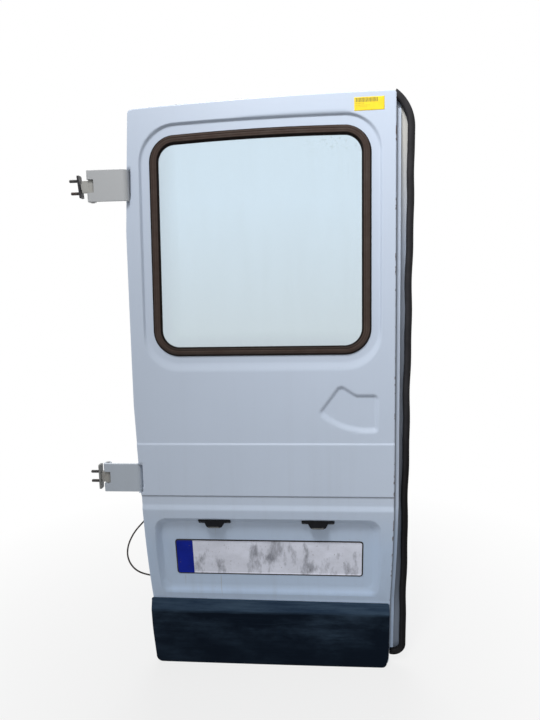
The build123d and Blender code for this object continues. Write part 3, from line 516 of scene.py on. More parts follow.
class Nodes:
    """Short way to write a node tree: each call adds a node and joins what it is given."""

    def __init__(self, tree):
        self.tree = tree

    def add(self, kind, values=None, **settings):
        """Add a node with these settings, and set or join its inputs."""
        node = self.tree.nodes.new(kind)
        for key, value in settings.items():
            setattr(node, key, value)
        self.join(node, values or {})
        return node

    def join(self, node, values):
        """Set the inputs of a node, by joining a socket or giving a value, a colour without its alpha."""
        for key, value in values.items():
            socket = node.inputs[key]
            if isinstance(value, bpy.types.NodeSocket):
                self.tree.links.new(value, socket)
            else:
                socket.default_value = (*value, 1.0) if socket.type == "RGBA" else value

    def axis(self, name, source="Object"):
        """One of the coordinates."""
        place = self.add("ShaderNodeTexCoord").outputs[source]
        return self.add("ShaderNodeSeparateXYZ", {"Vector": place}).outputs[name]

    def place(self, stretch=(1.0, 1.0, 1.0), lean=0.0):
        """Object coordinates, stretched, and turned about Y by a number of degrees."""
        source = self.add("ShaderNodeTexCoord").outputs["Object"]
        values = {"Vector": source, "Scale": stretch, "Rotation": (0.0, math.radians(lean), 0.0)}
        return self.add("ShaderNodeMapping", values).outputs["Vector"]

    def noise(self, scale, detail=4.0, rough=0.55, *placing):
        """Noise from 0 to 1, placed as in place."""
        values = {"Scale": scale, "Detail": detail, "Roughness": rough, "Vector": self.place(*placing)}
        return self.add("ShaderNodeTexNoise", values).outputs["Fac"]

    def spread(self, value, low, high, to_low=0.0, to_high=1.0):
        """Value spread from a range to another, held at its ends."""
        values = {"Value": value, "From Min": low, "From Max": high, "To Min": to_low, "To Max": to_high}
        return self.add("ShaderNodeMapRange", values).outputs["Result"]

    def sum(self, operation, *values, clamp=True):
        """Arithmetic on values, held between 0 and 1 if clamped."""
        node = self.add("ShaderNodeMath", dict(enumerate(values)), operation=operation, use_clamp=clamp)
        return node.outputs[0]

    def times(self, product, *values):
        """Product of values, held between 0 and 1."""
        for value in values:
            product = self.sum("MULTIPLY", product, value)
        return product

    def mix(self, share, a, b, blend="MIX"):
        """Colour between a and b, or between a and its blend with b."""
        node = self.add("ShaderNodeMix", data_type="RGBA", blend_type=blend)
        self.join(node, {0: share, 6: a, 7: b})
        return node.outputs[2]

    def mottled(self, cloud, colour, low_gain, high_gain, low=0.3, high=0.7):
        """Colour that a noise takes from one gain to another, over a range of the noise."""
        return self.mix(self.spread(cloud, low, high), tone(colour, low_gain), tone(colour, high_gain))

    def bump(self, height, strength, distance, under=None):
        """Normal with a height pressed into it."""
        values = {"Height": height, "Strength": strength, "Distance": distance * MM}
        if under is not None:
            values["Normal"] = under
        return self.add("ShaderNodeBump", values).outputs["Normal"]

    def wear_and_shade(self):
        """Value of the piece's wear_and_shade attribute, a mask that each piece fills with its own wear,
        border or painted shade.
        """
        return self.add("ShaderNodeAttribute", attribute_name="wear_and_shade").outputs["Fac"]

    def seen(self):
        """1 for what the camera sees, also by reflection or through glass, and 0 for what only lights."""
        path = self.add("ShaderNodeLightPath").outputs
        by_glass = self.sum("MAXIMUM", path["Is Glossy Ray"], path["Is Transmission Ray"])
        return self.sum("MAXIMUM", path["Is Camera Ray"], by_glass)

    def drip(self, at, width, top, low):
        """Share of a thin run of stain that wanders down the metal and fades: lengths in millimetres."""
        x, z = map(self.axis, "XZ")
        wander = self.noise(26.0, 2.0, 0.5, (0.0, 0.0, 1.0))
        shifted = self.sum("ADD", x, self.spread(wander, 0.0, 1.0, -0.0025, 0.0025), clamp=False)
        away = self.sum("ABSOLUTE", self.sum("SUBTRACT", shifted, at * MM, clamp=False), clamp=False)
        line = self.spread(away, width * MM, 0.0)
        foot = self.spread(z, low * MM, low * MM + 0.05)
        head = self.spread(z, top * MM, top * MM - 0.006)
        patchy = self.spread(self.noise(70.0, 4.0, 0.6, (1.0, 1.0, 0.3)), 0.3, 0.6, 0.25, 1.0)
        return self.times(line, self.times(foot, head), patchy)


class Finish(Nodes):
    """Nodes of a new material."""

    def __init__(self, name):
        self.material = bpy.data.materials.new(name)
        self.material.use_nodes = True
        super().__init__(self.material.node_tree)

    def done(self, shade, rough, **values):
        """Set the shader and give the material back."""
        values.update(Base_Color=shade, Roughness=rough)
        shader = self.tree.nodes["Principled BSDF"]
        self.join(shader, {key.replace("_", " "): value for key, value in values.items()})
        return self.material


def weathered_paint(name, colour, worn, drips=()):
    """Van paint: faint clouds, rain streaks, grime low down, drips, and chips to dark metal where worn.

    It has a painted bluish shade low down, a painted shadow in the groove under the belt, and a painted
    highlight on the recess's lower ledge.
    """
    f = Finish(name)
    cloud = f.noise(2.2, 3.0)
    streak = f.noise(5.0, 5.0, 0.6, (7.0, 7.0, 0.35))
    speck = f.noise(260.0, 2.0, 0.5)
    x, z = map(f.axis, "XZ")
    low = f.spread(z, 0.15, -0.55)
    shade = f.mottled(cloud, colour, 1.0, 0.955)
    # Painted shade: the paint turns bluish towards the bottom, in place of cool shade.
    shade = f.mix(f.spread(z, -0.06, -0.2), shade, PAINTED_COOL_SHADE, "MULTIPLY")
    grime = f.times(f.spread(streak, 0.5, 0.74), f.spread(low, 0.0, 1.0, 0.02, 0.13))
    shade = f.mix(grime, shade, ROAD_GRIME)
    for drip in drips:
        shade = f.mix(f.times(f.drip(*drip), 0.5), shade, RUST_RUN)
    # Painted shadow: a dark line in the groove, under the belt's overhanging edge.
    groove = f.times(f.spread(z, -0.0525, -0.0505), f.spread(z, -0.0475, -0.0485, 0.0, 0.55))
    shade = f.mix(groove, shade, GROOVE_SHADE)
    dots = f.times(f.spread(speck, 0.7, 0.76), f.spread(low, 0.0, 1.0, 0.08, 0.34))
    shade = f.mix(dots, shade, DARK_SPECK)
    if worn:
        # Painted highlight: the recess's lower ledge is made paler, where the sky would shine on it.
        ledge = f.times(f.spread(z, -0.333, -0.344), f.spread(z, -0.3585, -0.3565))
        ledge = f.times(ledge, f.spread(x, 0.152, 0.17), f.spread(x, 0.757, 0.74))
        ledge = f.times(ledge, f.spread(streak, 0.3, 0.7, 1.0, 0.7))
        shade = f.mix(ledge, shade, PAINTED_LEDGE_HIGHLIGHT, "MULTIPLY")
        patch = f.noise(55.0, 6.0, 0.72, (1.0, 1.0, 0.55))
        chip = f.spread(f.sum("ADD", f.times(f.wear_and_shade(), 0.36), f.times(patch, 0.72)), 0.715, 0.735)
        shade = f.mix(chip, shade, f.mix(f.noise(130.0), *CHIP_COLOURS))
        rough = f.sum("ADD", f.spread(cloud, 0.2, 0.8, 0.3, 0.42), f.times(chip, 0.4))
        normal = f.bump(f.noise(520.0, 2.0), 0.045, 0.4, f.bump(chip, -0.4, 0.3))
    else:
        rough = f.spread(cloud, 0.2, 0.8, 0.34, 0.5)
        normal = f.bump(f.noise(520.0, 2.0), 0.05, 0.4)
    rough = f.sum("ADD", rough, f.times(grime, 0.5))
    return f.done(shade, rough, Normal=normal, Coat_Weight=0.15, Coat_Roughness=0.2)


def inner_paint(name, colour):
    """Inner panel's paint: cloudy, with painted shadow behind the skin's edge and in the channel by the seal.
    """
    f = Finish(name)
    x, z = map(f.axis, "XZ")
    cloud = f.noise(2.6)
    smear = f.noise(9.0, 5.0, 0.6, (9.0, 9.0, 0.8))
    shade = f.mottled(cloud, colour, 1.0, 0.93)
    # Painted shade: the paint turns bluish towards the bottom, in place of cool shade.
    shade = f.mix(f.spread(z, -0.06, -0.2), shade, PAINTED_COOL_SHADE, "MULTIPLY")
    shade = f.mix(f.spread(smear, 0.52, 0.8, 0.0, 0.16), shade, PANEL_SMEAR)
    # Painted shadow: a dark line in the gap just behind the skin's edge.
    hem_gap_shadow = f.times(f.spread(x, 0.7925, 0.7932), f.spread(x, 0.8005, 0.7985, 0.0, 0.7))
    beside_seal = f.spread(x, 0.8072, 0.8082)
    # Painted shade: the channel beside the seal, darker towards the bottom.
    channel_shade = f.times(beside_seal, f.spread(z, 0.8, 0.0, 0.0, 0.88))
    gap_shade = f.times(f.sum("MAXIMUM", hem_gap_shadow, channel_shade), f.spread(smear, 0.2, 0.7, 0.95, 0.72))
    shade = f.mix(gap_shade, shade, f.mix(cloud, *CHANNEL_SHADE_COLOURS))
    # Paler beige beside the seal towards the top.
    shade = f.mix(f.times(beside_seal, f.spread(z, 0.6, 0.86, 0.0, 0.8)), shade, BEIGE_BESIDE_SEAL)
    normal = f.bump(f.noise(480.0, 2.0), 0.05, 0.4)
    rough = f.spread(cloud, 0.2, 0.8, 0.38, 0.55)
    return f.done(shade, rough, Normal=normal, Coat_Weight=0.1)


def hinge_bracket(name, plate, block, split, lean):
    """Hinge bracket: a rusty plate finish up to a leaning line, and worn paint on the knuckle beyond it."""
    f = Finish(name)
    line = f.sum("MULTIPLY_ADD", f.axis("Z"), lean, f.axis("X"), clamp=False)
    far = f.spread(line, split, split + 0.0006)
    cloud = f.noise(70.0, 5.0, 0.6)
    spot = f.spread(f.noise(95.0, 7.0, 0.7), 0.58, 0.68)
    shade = f.mix(far, f.mottled(cloud, plate, 0.8, 1.25), f.mottled(cloud, block, 0.9, 1.06))
    shade = f.mix(f.times(spot, 0.55), shade, f.mix(f.noise(230.0), *BRACKET_RUST))
    normal = f.bump(f.noise(600.0, 3.0), 0.12, 0.3, f.bump(spot, -0.2, 0.3))
    rough = f.spread(cloud, 0.2, 0.8, 0.42, 0.62)
    return f.done(shade, rough, Normal=normal, Specular_IOR_Level=0.3)


def aged_rubber(name, colour, dust, dusty, lips=False):
    """Rubber: mottled, dusty in patches, with a fine grain. Where lips is set, a mask darkens it: partly
    painted shade on the window rubber, darker to the right and low down on the seal.
    """
    f = Finish(name)
    cloud = f.noise(14.0, 5.0, 0.6)
    film = f.times(f.spread(f.noise(38.0, 6.0, 0.66), 0.36, 0.72), dusty)
    shade = f.mix(film, f.mottled(cloud, colour, 0.86, 1.1), dust)
    if lips:
        # The mask darkens the rubber to a near-black copy of its colour; on the window rubber this is partly
        # painted shade.
        shade = f.mix(f.wear_and_shade(), shade, tone(colour, 0.13))
    normal = f.bump(f.noise(900.0, 3.0, 0.6), 0.15, 0.25, f.bump(f.noise(90.0, 3.0), 0.06, 0.6))
    rough = f.spread(cloud, 0.2, 0.8, 0.55, 0.76)
    return f.done(shade, rough, Normal=normal, Specular_IOR_Level=0.1)


def scuffed_plastic(name, colour, scuff):
    """Moulded trim plastic: fine grain, faded clouds, pale scuffs that run across it, and a rubbed ledge."""
    f = Finish(name)
    cloud = f.noise(4.2, 5.0, 0.6, (1.0, 1.0, 1.7), 14.0)
    rub = f.noise(11.0, 8.0, 0.72, (0.8, 1.0, 4.5), 9.0)
    scratch = f.noise(16.0, 3.0, 0.5, (0.5, 1.0, 34.0), -4.0)
    streak = f.noise(9.0, 7.0, 0.7, (0.7, 1.0, 9.0), 1.5)
    patch = f.sum("ADD", cloud, f.spread(f.axis("X"), 0.46, 0.18, 0.0, 0.07))
    pale = f.times(f.spread(patch, 0.46, 0.68), f.spread(rub, 0.36, 0.68, 0.1, 1.0))
    pale = f.sum("ADD", pale, f.times(f.spread(scratch, 0.63, 0.74), 0.3))
    pale = f.times(pale, f.spread(f.axis("Z"), -0.575, -0.47, 0.2, 0.72))
    shelf = f.mix(f.spread(streak, 0.34, 0.68), tone(colour, 3.4), scuff)
    border = f.sum("ADD", f.times(f.wear_and_shade(), 0.7), f.times(streak, 0.5))
    shade = f.mix(pale, f.mix(f.spread(border, 0.42, 0.78), colour, shelf), scuff)
    normal = f.bump(f.noise(1300.0, 2.0, 0.5), 0.22, 0.25, f.bump(scratch, -0.1, 0.3))
    rough = f.spread(cloud, 0.25, 0.75, 0.42, 0.6)
    return f.done(shade, rough, Normal=normal, Specular_IOR_Level=0.025)


def bare_metal(name, colour, rust, rough_low=0.35, rough_high=0.55):
    """Plain or plated metal part: mottled, with fine scratches and rust in its hollows."""
    f = Finish(name)
    cloud = f.noise(60.0, 5.0, 0.6)
    patch = f.times(f.spread(f.noise(42.0, 7.0, 0.7), 0.54, 0.66), rust)
    shade = f.mix(patch, f.mottled(cloud, colour, 0.8, 1.1), f.mix(f.noise(210.0), *METAL_RUST))
    rough = f.sum("ADD", f.spread(cloud, 0.2, 0.8, rough_low, rough_high), f.times(patch, 0.4))
    metal = f.spread(patch, 0.0, 0.6, 0.85, 0.0)
    normal = f.bump(f.noise(700.0, 3.0, 0.6, (0.2, 1.0, 1.0)), 0.08, 0.2, f.bump(patch, 0.2, 0.3))
    return f.done(shade, rough, Metallic=metal, Normal=normal)


def plain_plastic(name, colour):
    """Black moulded plastic with a faint bloom and grain."""
    f = Finish(name)
    cloud = f.noise(30.0)
    shade = f.mottled(cloud, colour, 1.0, 2.2, 0.35, 0.75)
    normal = f.bump(f.noise(1500.0, 2.0), 0.12, 0.2)
    rough = f.spread(cloud, 0.2, 0.8, 0.36, 0.55)
    return f.done(shade, rough, Normal=normal, Specular_IOR_Level=0.06)


def window_pane(name, tint):
    """Old tempered glass: a faint tint with a painted sky reflection that darkens low down, painted shade at
    its left and low rims, dust in streaks, and flecks of glue at the top.
    """
    f = Finish(name)
    film = f.noise(7.0, 5.0, 0.6, (5.0, 5.0, 0.5))
    x, z = map(f.axis, "XZ")
    # Painted reflection: the sky's reflection darkens towards the bottom of the glass.
    shade = f.mix(f.spread(z, 0.72, 0.36), tint, PANE_SKY_REFLECTION_LOW)
    # Painted shade along the glass's left and low rims.
    rim = f.sum("MAXIMUM", f.spread(x, 0.245, 0.19), f.spread(z, 0.392, 0.345))
    shade = f.mix(f.times(rim, 0.5), shade, PANE_RIM_SHADE)
    shade = f.mix(f.spread(film, 0.4, 0.8, 0.0, 0.06), shade, PANE_FILM)
    fleck = f.times(f.spread(f.noise(120.0, 5.0, 0.7), 0.57, 0.62), f.spread(x, 0.52, 0.64))
    shade = f.mix(f.times(fleck, f.spread(z, 0.815, 0.868, 0.0, 0.45)), shade, PANE_FLECK)
    rough = f.spread(film, 0.4, 0.8, 0.0, 0.05)
    return f.done(shade, rough, Transmission_Weight=0.94, IOR=1.5)


def lamp_lens(name):
    """Ribbed clear lens, clouded by age."""
    f = Finish(name)
    ribs = f.add("ShaderNodeTexWave", {"Scale": 260.0, "Vector": f.place()}, bands_direction="X")
    shade = f.mix(f.noise(160.0), *LENS_COLOURS)
    normal = f.bump(ribs.outputs["Fac"], 0.3, 0.4)
    return f.done(shade, 0.18, Normal=normal, Transmission_Weight=0.35)


def plate_face(name, white, blue):
    """Number plate: grimy white with smears, a bare band at its left end, specks, and a dark border."""
    f = Finish(name)
    grime = f.noise(11.0, 6.0, 0.66, (1.0, 1.0, 1.6))
    smear = f.noise(30.0, 5.0, 0.64, (1.0, 1.0, 0.36), 9.0)
    face = f.mottled(grime, white, 1.0, 0.78, 0.38, 0.75)
    face = f.mix(f.spread(smear, 0.53, 0.7, 0.0, 0.8), face, PLATE_SMEAR)
    band = f.mottled(grime, blue, 1.0, 0.5, 0.4, 0.8)
    shade = f.mix(f.sum("LESS_THAN", f.axis("X"), PLATE_BAND_END), face, band)
    shade = f.mix(f.spread(f.wear_and_shade(), 0.35, 0.55), shade, PLATE_BORDER)
    speck = f.spread(f.noise(150.0, 3.0), 0.66, 0.74)
    shade = f.mix(f.times(speck, 0.5), shade, PLATE_SPECK)
    rough = f.spread(grime, 0.3, 0.8, 0.3, 0.55)
    return f.done(shade, rough, Normal=f.bump(smear, 0.2, 0.6), Specular_IOR_Level=0.12)


STICKER_INK = (0.10, 0.085, 0.012)
STICKER_LEFT = (0.6922, 0.6928)
# Right end, low and high edge, and weight of each row of bars.
STICKER_BARS = (
    (0.7475, 0.9475, 0.9578, 1.0), (0.7150, 0.9440, 0.9455, 0.8), (0.7290, 0.9395, 0.9408, 0.7),
    (0.7220, 0.9360, 0.9370, 0.6),
)


def sticker_paper(name, colour):
    """Creased paper with rows of plain dark bars."""
    f = Finish(name)
    x, z = map(f.axis, "XZ")
    wrinkle = f.noise(60.0, 4.0, 0.6)
    shade = f.mottled(wrinkle, colour, 1.0, 0.88, 0.35, 0.75)
    wave = {"Scale": 95.0, "Distortion": 3.0, "Detail": 2.0, "Vector": f.place()}
    bars = f.spread(f.add("ShaderNodeTexWave", wave, bands_direction="X").outputs["Fac"], 0.35, 0.6)
    for right, low, high, weight in STICKER_BARS:
        band = f.times(f.sum("GREATER_THAN", z, low), f.sum("LESS_THAN", z, high))
        band = f.times(band, f.sum("LESS_THAN", x, right), f.spread(x, *STICKER_LEFT, 0.0, weight))
        shade = f.mix(f.times(bars, band), shade, STICKER_INK)
    return f.done(shade, 0.55, Normal=f.bump(wrinkle, 0.12, 0.4))


def stage_white(name):
    """Pale floor: white to the camera and to reflections, with the shadow kept near the door."""
    f = Finish(name)
    source = f.add("ShaderNodeTexCoord").outputs["Object"]
    away = f.add("ShaderNodeVectorMath", {0: source, 1: DOOR_FOOT}, operation="DISTANCE")
    share = f.times(f.seen(), f.spread(away.outputs["Value"], 0.35, 1.5, 0.78, 1.0))
    diffuse = f.add("ShaderNodeBsdfDiffuse", {"Color": (0.42, 0.42, 0.42)}).outputs[0]
    glow = f.add("ShaderNodeEmission", {"Color": (1.0, 1.0, 1.0), "Strength": 1.0}).outputs[0]
    mixed = f.add("ShaderNodeMixShader", {0: share, 1: diffuse, 2: glow}).outputs[0]
    f.join(f.tree.nodes["Material Output"], {"Surface": mixed})
    return f.material


def finish_node(names, material):
    """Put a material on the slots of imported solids."""
    for name in names:
        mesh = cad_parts[name].data
        mesh.materials.clear()
        mesh.materials.append(material)


# Settings

class DoorColours(bpy.types.PropertyGroup):
    """Colours of the door's finishes."""

    paint: bpy.props.FloatVectorProperty(
        name="Paint", description="Outer and inner paint", subtype="COLOR", min=0, max=1,
        default=(0.535, 0.612, 0.735),
    )
    rubber: bpy.props.FloatVectorProperty(
        name="Window rubber", description="Rubber round the window", subtype="COLOR", min=0, max=1,
        default=(0.052, 0.035, 0.029),
    )
    seal: bpy.props.FloatVectorProperty(
        name="Edge seal", description="Seal on the meeting edge", subtype="COLOR", min=0, max=1,
        default=(0.03, 0.029, 0.032),
    )
    trim: bpy.props.FloatVectorProperty(
        name="Trim", description="Lower trim plastic", subtype="COLOR", min=0, max=1,
        default=(0.0038, 0.0078, 0.0155),
    )
    scuff: bpy.props.FloatVectorProperty(
        name="Scuffs", description="Rubbed patches of the trim", subtype="COLOR", min=0, max=1,
        default=(0.042, 0.07, 0.108),
    )
    plate: bpy.props.FloatVectorProperty(
        name="Plate", description="Face of the number plate", subtype="COLOR", min=0, max=1,
        default=(0.83, 0.86, 0.98),
    )
    band: bpy.props.FloatVectorProperty(
        name="Plate band", description="Band at the plate's end", subtype="COLOR", min=0, max=1,
        default=(0.001, 0.014, 0.30),
    )
    sticker: bpy.props.FloatVectorProperty(
        name="Sticker", description="Paper sticker", subtype="COLOR", min=0, max=1,
        default=(0.92, 0.68, 0.0),
    )
    glass: bpy.props.FloatVectorProperty(
        name="Glass", description="Tint of the window glass", subtype="COLOR", min=0, max=1,
        default=(0.65, 0.785, 0.885),
    )


class DoorSizes(bpy.types.PropertyGroup):
    """Sizes of the finished surfaces that the solids leave open."""

    pressed_edge: bpy.props.FloatProperty(
        name="Skin edge", description="Radius of the skin's rolled edge", unit="LENGTH", default=0.0035,
        min=0.001,
    )
    sheet: bpy.props.FloatProperty(
        name="Sheet", description="Thickness of the skin's sheet", unit="LENGTH", default=0.0012, min=0.0003,
    )
    thread_pitch: bpy.props.FloatProperty(
        name="Thread pitch", description="Pitch of the studs' threads", unit="LENGTH", default=0.00125,
        min=0.0005,
    )
    plate_border: bpy.props.FloatProperty(
        name="Plate border", description="Width of the plate's dark border", unit="LENGTH", default=0.0045,
        min=0.001,
    )
    floor_size: bpy.props.FloatProperty(
        name="Floor", description="Length of the stage floor's side", unit="LENGTH", default=40.0, min=4.0,
    )


def colours():
    return bpy.context.scene.barn_door_colours


def sizes():
    return bpy.context.scene.barn_door_sizes


# Operators

SENSOR = 36.0
FOCAL_PIXELS, PICTURE_PIXELS = 539.412, 720.0
CAMERA_RIGHT = (0.99734, 0.07034, -0.01904)
CAMERA_UP = (0.00988, 0.12839, 0.99167)
CAMERA_PLACE = (0.5736, -1.3891, 0.4945)
# Name, place, aim, size, power and spread in degrees.
LAMPS = (
    ("key", (0.05, -1.95, 3.18), (1.8, 0.0, 1.75), 0.9, 60.0, 102.0),
    ("rear", (0.2, 2.6, 2.6), (0.45, 0.0, 0.2), 2.2, 60.0, 180.0),
)


def posed(name, data, right, up, place):
    """Object at a place, turned to the directions of its right and up."""
    thing = bpy.data.objects.new(name, data)
    pose = np.eye(4)
    pose[:3] = np.stack([right, up, np.cross(right, up), place], axis=1)
    thing.matrix_world = Matrix(pose.tolist())
    bpy.context.scene.collection.objects.link(thing)
    return thing


class BARNDOOR_OT_stage(bpy.types.Operator):
    """Camera, lamps, world and floor"""

    bl_idname = "barn_door.stage"
    bl_label = "Stage"

    def execute(self, context):
        scene = context.scene
        scene.view_settings.view_transform = "Standard"
        camera = bpy.data.cameras.new("camera")
        camera.sensor_width = SENSOR
        camera.lens = FOCAL_PIXELS / PICTURE_PIXELS * SENSOR
        camera.clip_end = 200.0
        scene.camera = posed("camera", camera, CAMERA_RIGHT, CAMERA_UP, CAMERA_PLACE)

        low = cad_box[0][2]
        half = sizes().floor_size / 2
        corners = [(-half, -half, low), (half, -half, low), (half, half, low), (-half, half, low)]
        mesh = bpy.data.meshes.new("floor")
        mesh.from_pydata(corners, [], [(0, 1, 2, 3)])
        mesh.materials.append(stage_white("floor_white"))
        floor = bpy.data.objects.new("floor", mesh)
        scene.collection.objects.link(floor)

        for name, place, aim, size, power, spread in LAMPS:
            lamp = bpy.data.lights.new(name, "AREA")
            lamp.size, lamp.energy, lamp.spread = size, power, math.radians(spread)
            away = unit(np.subtract(place, aim))
            side = unit(np.cross((0.0, 0.0, 1.0), away))
            rig = posed(name, lamp, side, np.cross(away, side), place)
            rig.visible_camera = False
            rig.visible_transmission = False

        scene.world = bpy.data.worlds.new("studio")
        scene.world.use_nodes = True
        sky = Nodes(scene.world.node_tree)
        x, z = (sky.axis(name, "Generated") for name in "XZ")
        light = sky.spread(sky.sum("MULTIPLY_ADD", x, -0.5, z, clamp=False), -0.5, 0.9, 0.07, 0.74)
        strength = sky.spread(sky.seen(), 0.0, 1.0, light, 1.0)
        sky.join(sky.tree.nodes["Background"], {"Strength": strength, "Color": (1.0, 1.0, 1.0)})
        return {"FINISHED"}


class BARNDOOR_OT_cable(bpy.types.Operator):
    """Cable loop on the hinge side, with a grommet at each end"""

    bl_idname = "barn_door.cable"
    bl_label = "Cable loop"

    def execute(self, context):
        route = (
            (117, 30, -130), (99, 30.5, -149), (80, 32, -170), (64, 34, -195), (52.5, 37, -222),
            (48.5, 40, -250), (54, 44, -277), (69, 48, -299), (91, 51.5, -312), (117, 54, -318),
        )
        sheath = aged_rubber("cable_sheath", (0.05, 0.042, 0.037), (0.16, 0.15, 0.14), 0.5)
        curve = bpy.data.curves.new("cable", "CURVE")
        curve.dimensions = "3D"
        curve.bevel_depth = 2.25 * MM
        curve.bevel_resolution = 5
        curve.resolution_u = 10
        curve.use_fill_caps = True
        spline = curve.splines.new("NURBS")
        spline.points.add(len(route) - 1)
        points = np.hstack([np.asarray(route, float) * MM, np.ones((len(route), 1))])
        spline.points.foreach_set("co", points.reshape(-1))
        spline.order_u = 3
        spline.use_endpoint_u = True
        curve.materials.append(sheath)
        cable = bpy.data.objects.new("cable", curve)
        context.scene.collection.objects.link(cable)
        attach(cable, LEAF)
        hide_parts("cable_loop")
        side_wall = 119.6
        collar = round_rings((9, 0)) + rounded_stack(9.0, 9.0, 9.0, 1.0, 2.6, 1.4)
        collar += round_rings((5.4, 2.7), (4.6, 4.6), (3.4, 5.0), (2.4, 5.0))
        for name, end in (("upper", route[0]), ("lower", route[-1])):
            wall = Frame2((side_wall, end[1], end[2]), (0, -1, 0), (0, 0, 1))
            patch = stacked_rings(wall, 0, collar, 40)
            make_piece(f"{name}_grommet", patch, sheath, f"{name}_cable_grommet")
        return {"FINISHED"}


class BARNDOOR_OT_skin(bpy.types.Operator):
    """Outer skin as one pressing, and the sheets behind it"""

    bl_idname = "barn_door.skin"
    bl_label = "Outer skin"

    def execute(self, context):
        rows = lines(
            (SKIN_LOW, 13.0), (-380.0, 3.2), (-315.0, 8.0), (-160.0, 3.0), (-142.0, 1.6), (-108.0, 2.6),
            (-55.0, 0.9), (-43.0, 9.0), (89.0, 0.9), (101.0, 2.6), (256.0, 4.0), (284.0, 3.0), (345.0, 4.5),
            (385.0, 11.0), (820.0, 3.2), (882.0, 2.0), (908.0, 1.4), (928.0, 5.0), (960.0, 2.0), (970.0, 0.8),
            SKIN_TOP,
        )
        columns = lines(
            (107.0, 1.5), (110.0, 3.8), (138.0, 1.3), (152.0, 2.4), (176.0, 4.0), (232.0, 12.0), (592.0, 3.2),
            (700.0, 2.4), (750.0, 1.5), (761.0, 4.0), (790.0, 1.5), SKIN_RIGHT,
        )

        def keep(x, z):
            slot = np.zeros(x.shape, bool)
            for height in HINGE_HEIGHTS:
                slot |= (x < SLOT_X) & (np.abs(z - height) < SLOT_HALF)
            return ~slot & (window_distance(x, z, -10.0) > 0.0)

        def worn(x, y, z):
            right = 0.92 * np.exp(-np.maximum(791.0 - x, 0.0) / 3.0)
            left = 0.75 * np.exp(-np.abs(x - left_edge(z)) / 3.0)
            top = 0.6 * np.exp(-np.abs(top_edge(x) - z) / 4.0)
            past = [np.maximum(np.abs(z - height) - SLOT_HALF, 0) for height in HINGE_HEIGHTS]
            slots = 0.8 * np.max(np.exp(-np.hypot(x - SLOT_X, past) / 5.0), axis=0)
            inside = np.exp(-np.maximum(y - skin_depth(x, z) - 3.0, 0.0) / 2.0)
            return np.clip(np.maximum.reduce([right, left, top, slots]), 0.0, 1.0) * (0.35 + 0.65 * inside)

        patch = pressed_panel(
            FACE, columns, rows, left_edge, flat(SKIN_RIGHT), top_edge, (32.0, 14.0, 9.0, 9.0),
            lambda x, z: -skin_depth(x, z), sizes().pressed_edge / MM, 11.0, keep,
        )
        drips = ((312.0, 2.2, -146.0, -182.0), (320.0, 2.0, -298.0, -372.0), (218.0, 2.6, -298.0, -336.0))
        paint = weathered_paint("door_paint", colours().paint, True, drips)
        skin = make_piece("door_skin", patch, paint, "outer_skin", worn)
        for name, height in zip(("lower", "upper"), HINGE_HEIGHTS):
            make_piece(f"{name}_slot_edge", slot_edge(height), paint)
        sheet_wall(skin, sizes().sheet / MM)
        inner = inner_paint("inner_paint", tone(colours().paint, 0.94))
        finish_node(["inner_panel", "upper_hinge_reinforcement", "lower_hinge_reinforcement"], inner)
        return {"FINISHED"}


class BARNDOOR_OT_window(bpy.types.Operator):
    """Window rubber, its locking strip and the glass"""

    bl_idname = "barn_door.window"
    bl_label = "Window"

    def execute(self, context):
        path, normals = rounded_path(WINDOW_CORNERS, (WINDOW_RADIUS,) * 4, (0.0, 0.0, 0.0, 4.0), 320)
        section = [
            (-12.0, -3.2), (-12.0, 0.1), (-0.6, 0.1), (0.0, 0.5), (-0.2, 1.6), (-1.0, 2.6), (-1.6, 3.0),
            (-2.2, 4.0), (-3.6, 5.2), (-5.6, 5.8), (-8.9, 6.0), (-9.0, 4.6), (-15.0, 4.6), (-15.1, 6.0),
            (-17.4, 5.9), (-19.4, 5.3), (-20.4, 4.4), (-20.9, 3.0), (-21.4, 2.0), (-22.6, 1.6), (-23.7, 1.0),
            (-24.0, 0.4), (-23.4, 0.02), (-15.2, 0.02), (-15.0, -3.2), (-23.6, -3.25), (-24.0, -3.8),
            (-23.0, -5.2), (-19.5, -7.4), (-14.0, -8.2), (-8.5, -7.6), (-4.4, -5.6), (-3.2, -3.9),
            (-3.5, -3.25), (-12.0, -3.2),
        ]
        strip_section = [
            (-9.02, 4.0), (-9.05, 5.9), (-9.8, 6.15), (-12.0, 6.4), (-14.2, 6.15), (-14.95, 5.9),
            (-14.98, 4.0), (-9.02, 4.0),
        ]

        # Mask of darker rubber: a dark inner lip by the glass, painted shadow along the outer lip, and
        # painted shade on the bottom run, which faces down.
        def lips(x, y, z):
            inside = -window_distance(x, z, 0.0)
            rims = np.maximum(smooth_step((5.0 - inside) / 1.6), smooth_step((inside - 19.4) / 1.2))
            return np.maximum(rims, 0.44 * smooth_step((372.0 - z) / 26.0))

        rubber = aged_rubber("window_rubber", colours().rubber, RUBBER_DUST, 0.3, True)
        patch = carried_round(WINDOW, path, normals, section)
        make_piece("window_rubber", patch, rubber, "window_gasket", lips)
        rubber = aged_rubber("strip_rubber", tone(colours().rubber, 1.06), RUBBER_DUST, 0.3)
        patch = carried_round(WINDOW, path, normals, strip_section)
        make_piece("window_strip", patch, rubber, "gasket_locking_strip")
        finish_node(["window_glass"], window_pane("window_glass", colours().glass))
        return {"FINISHED"}


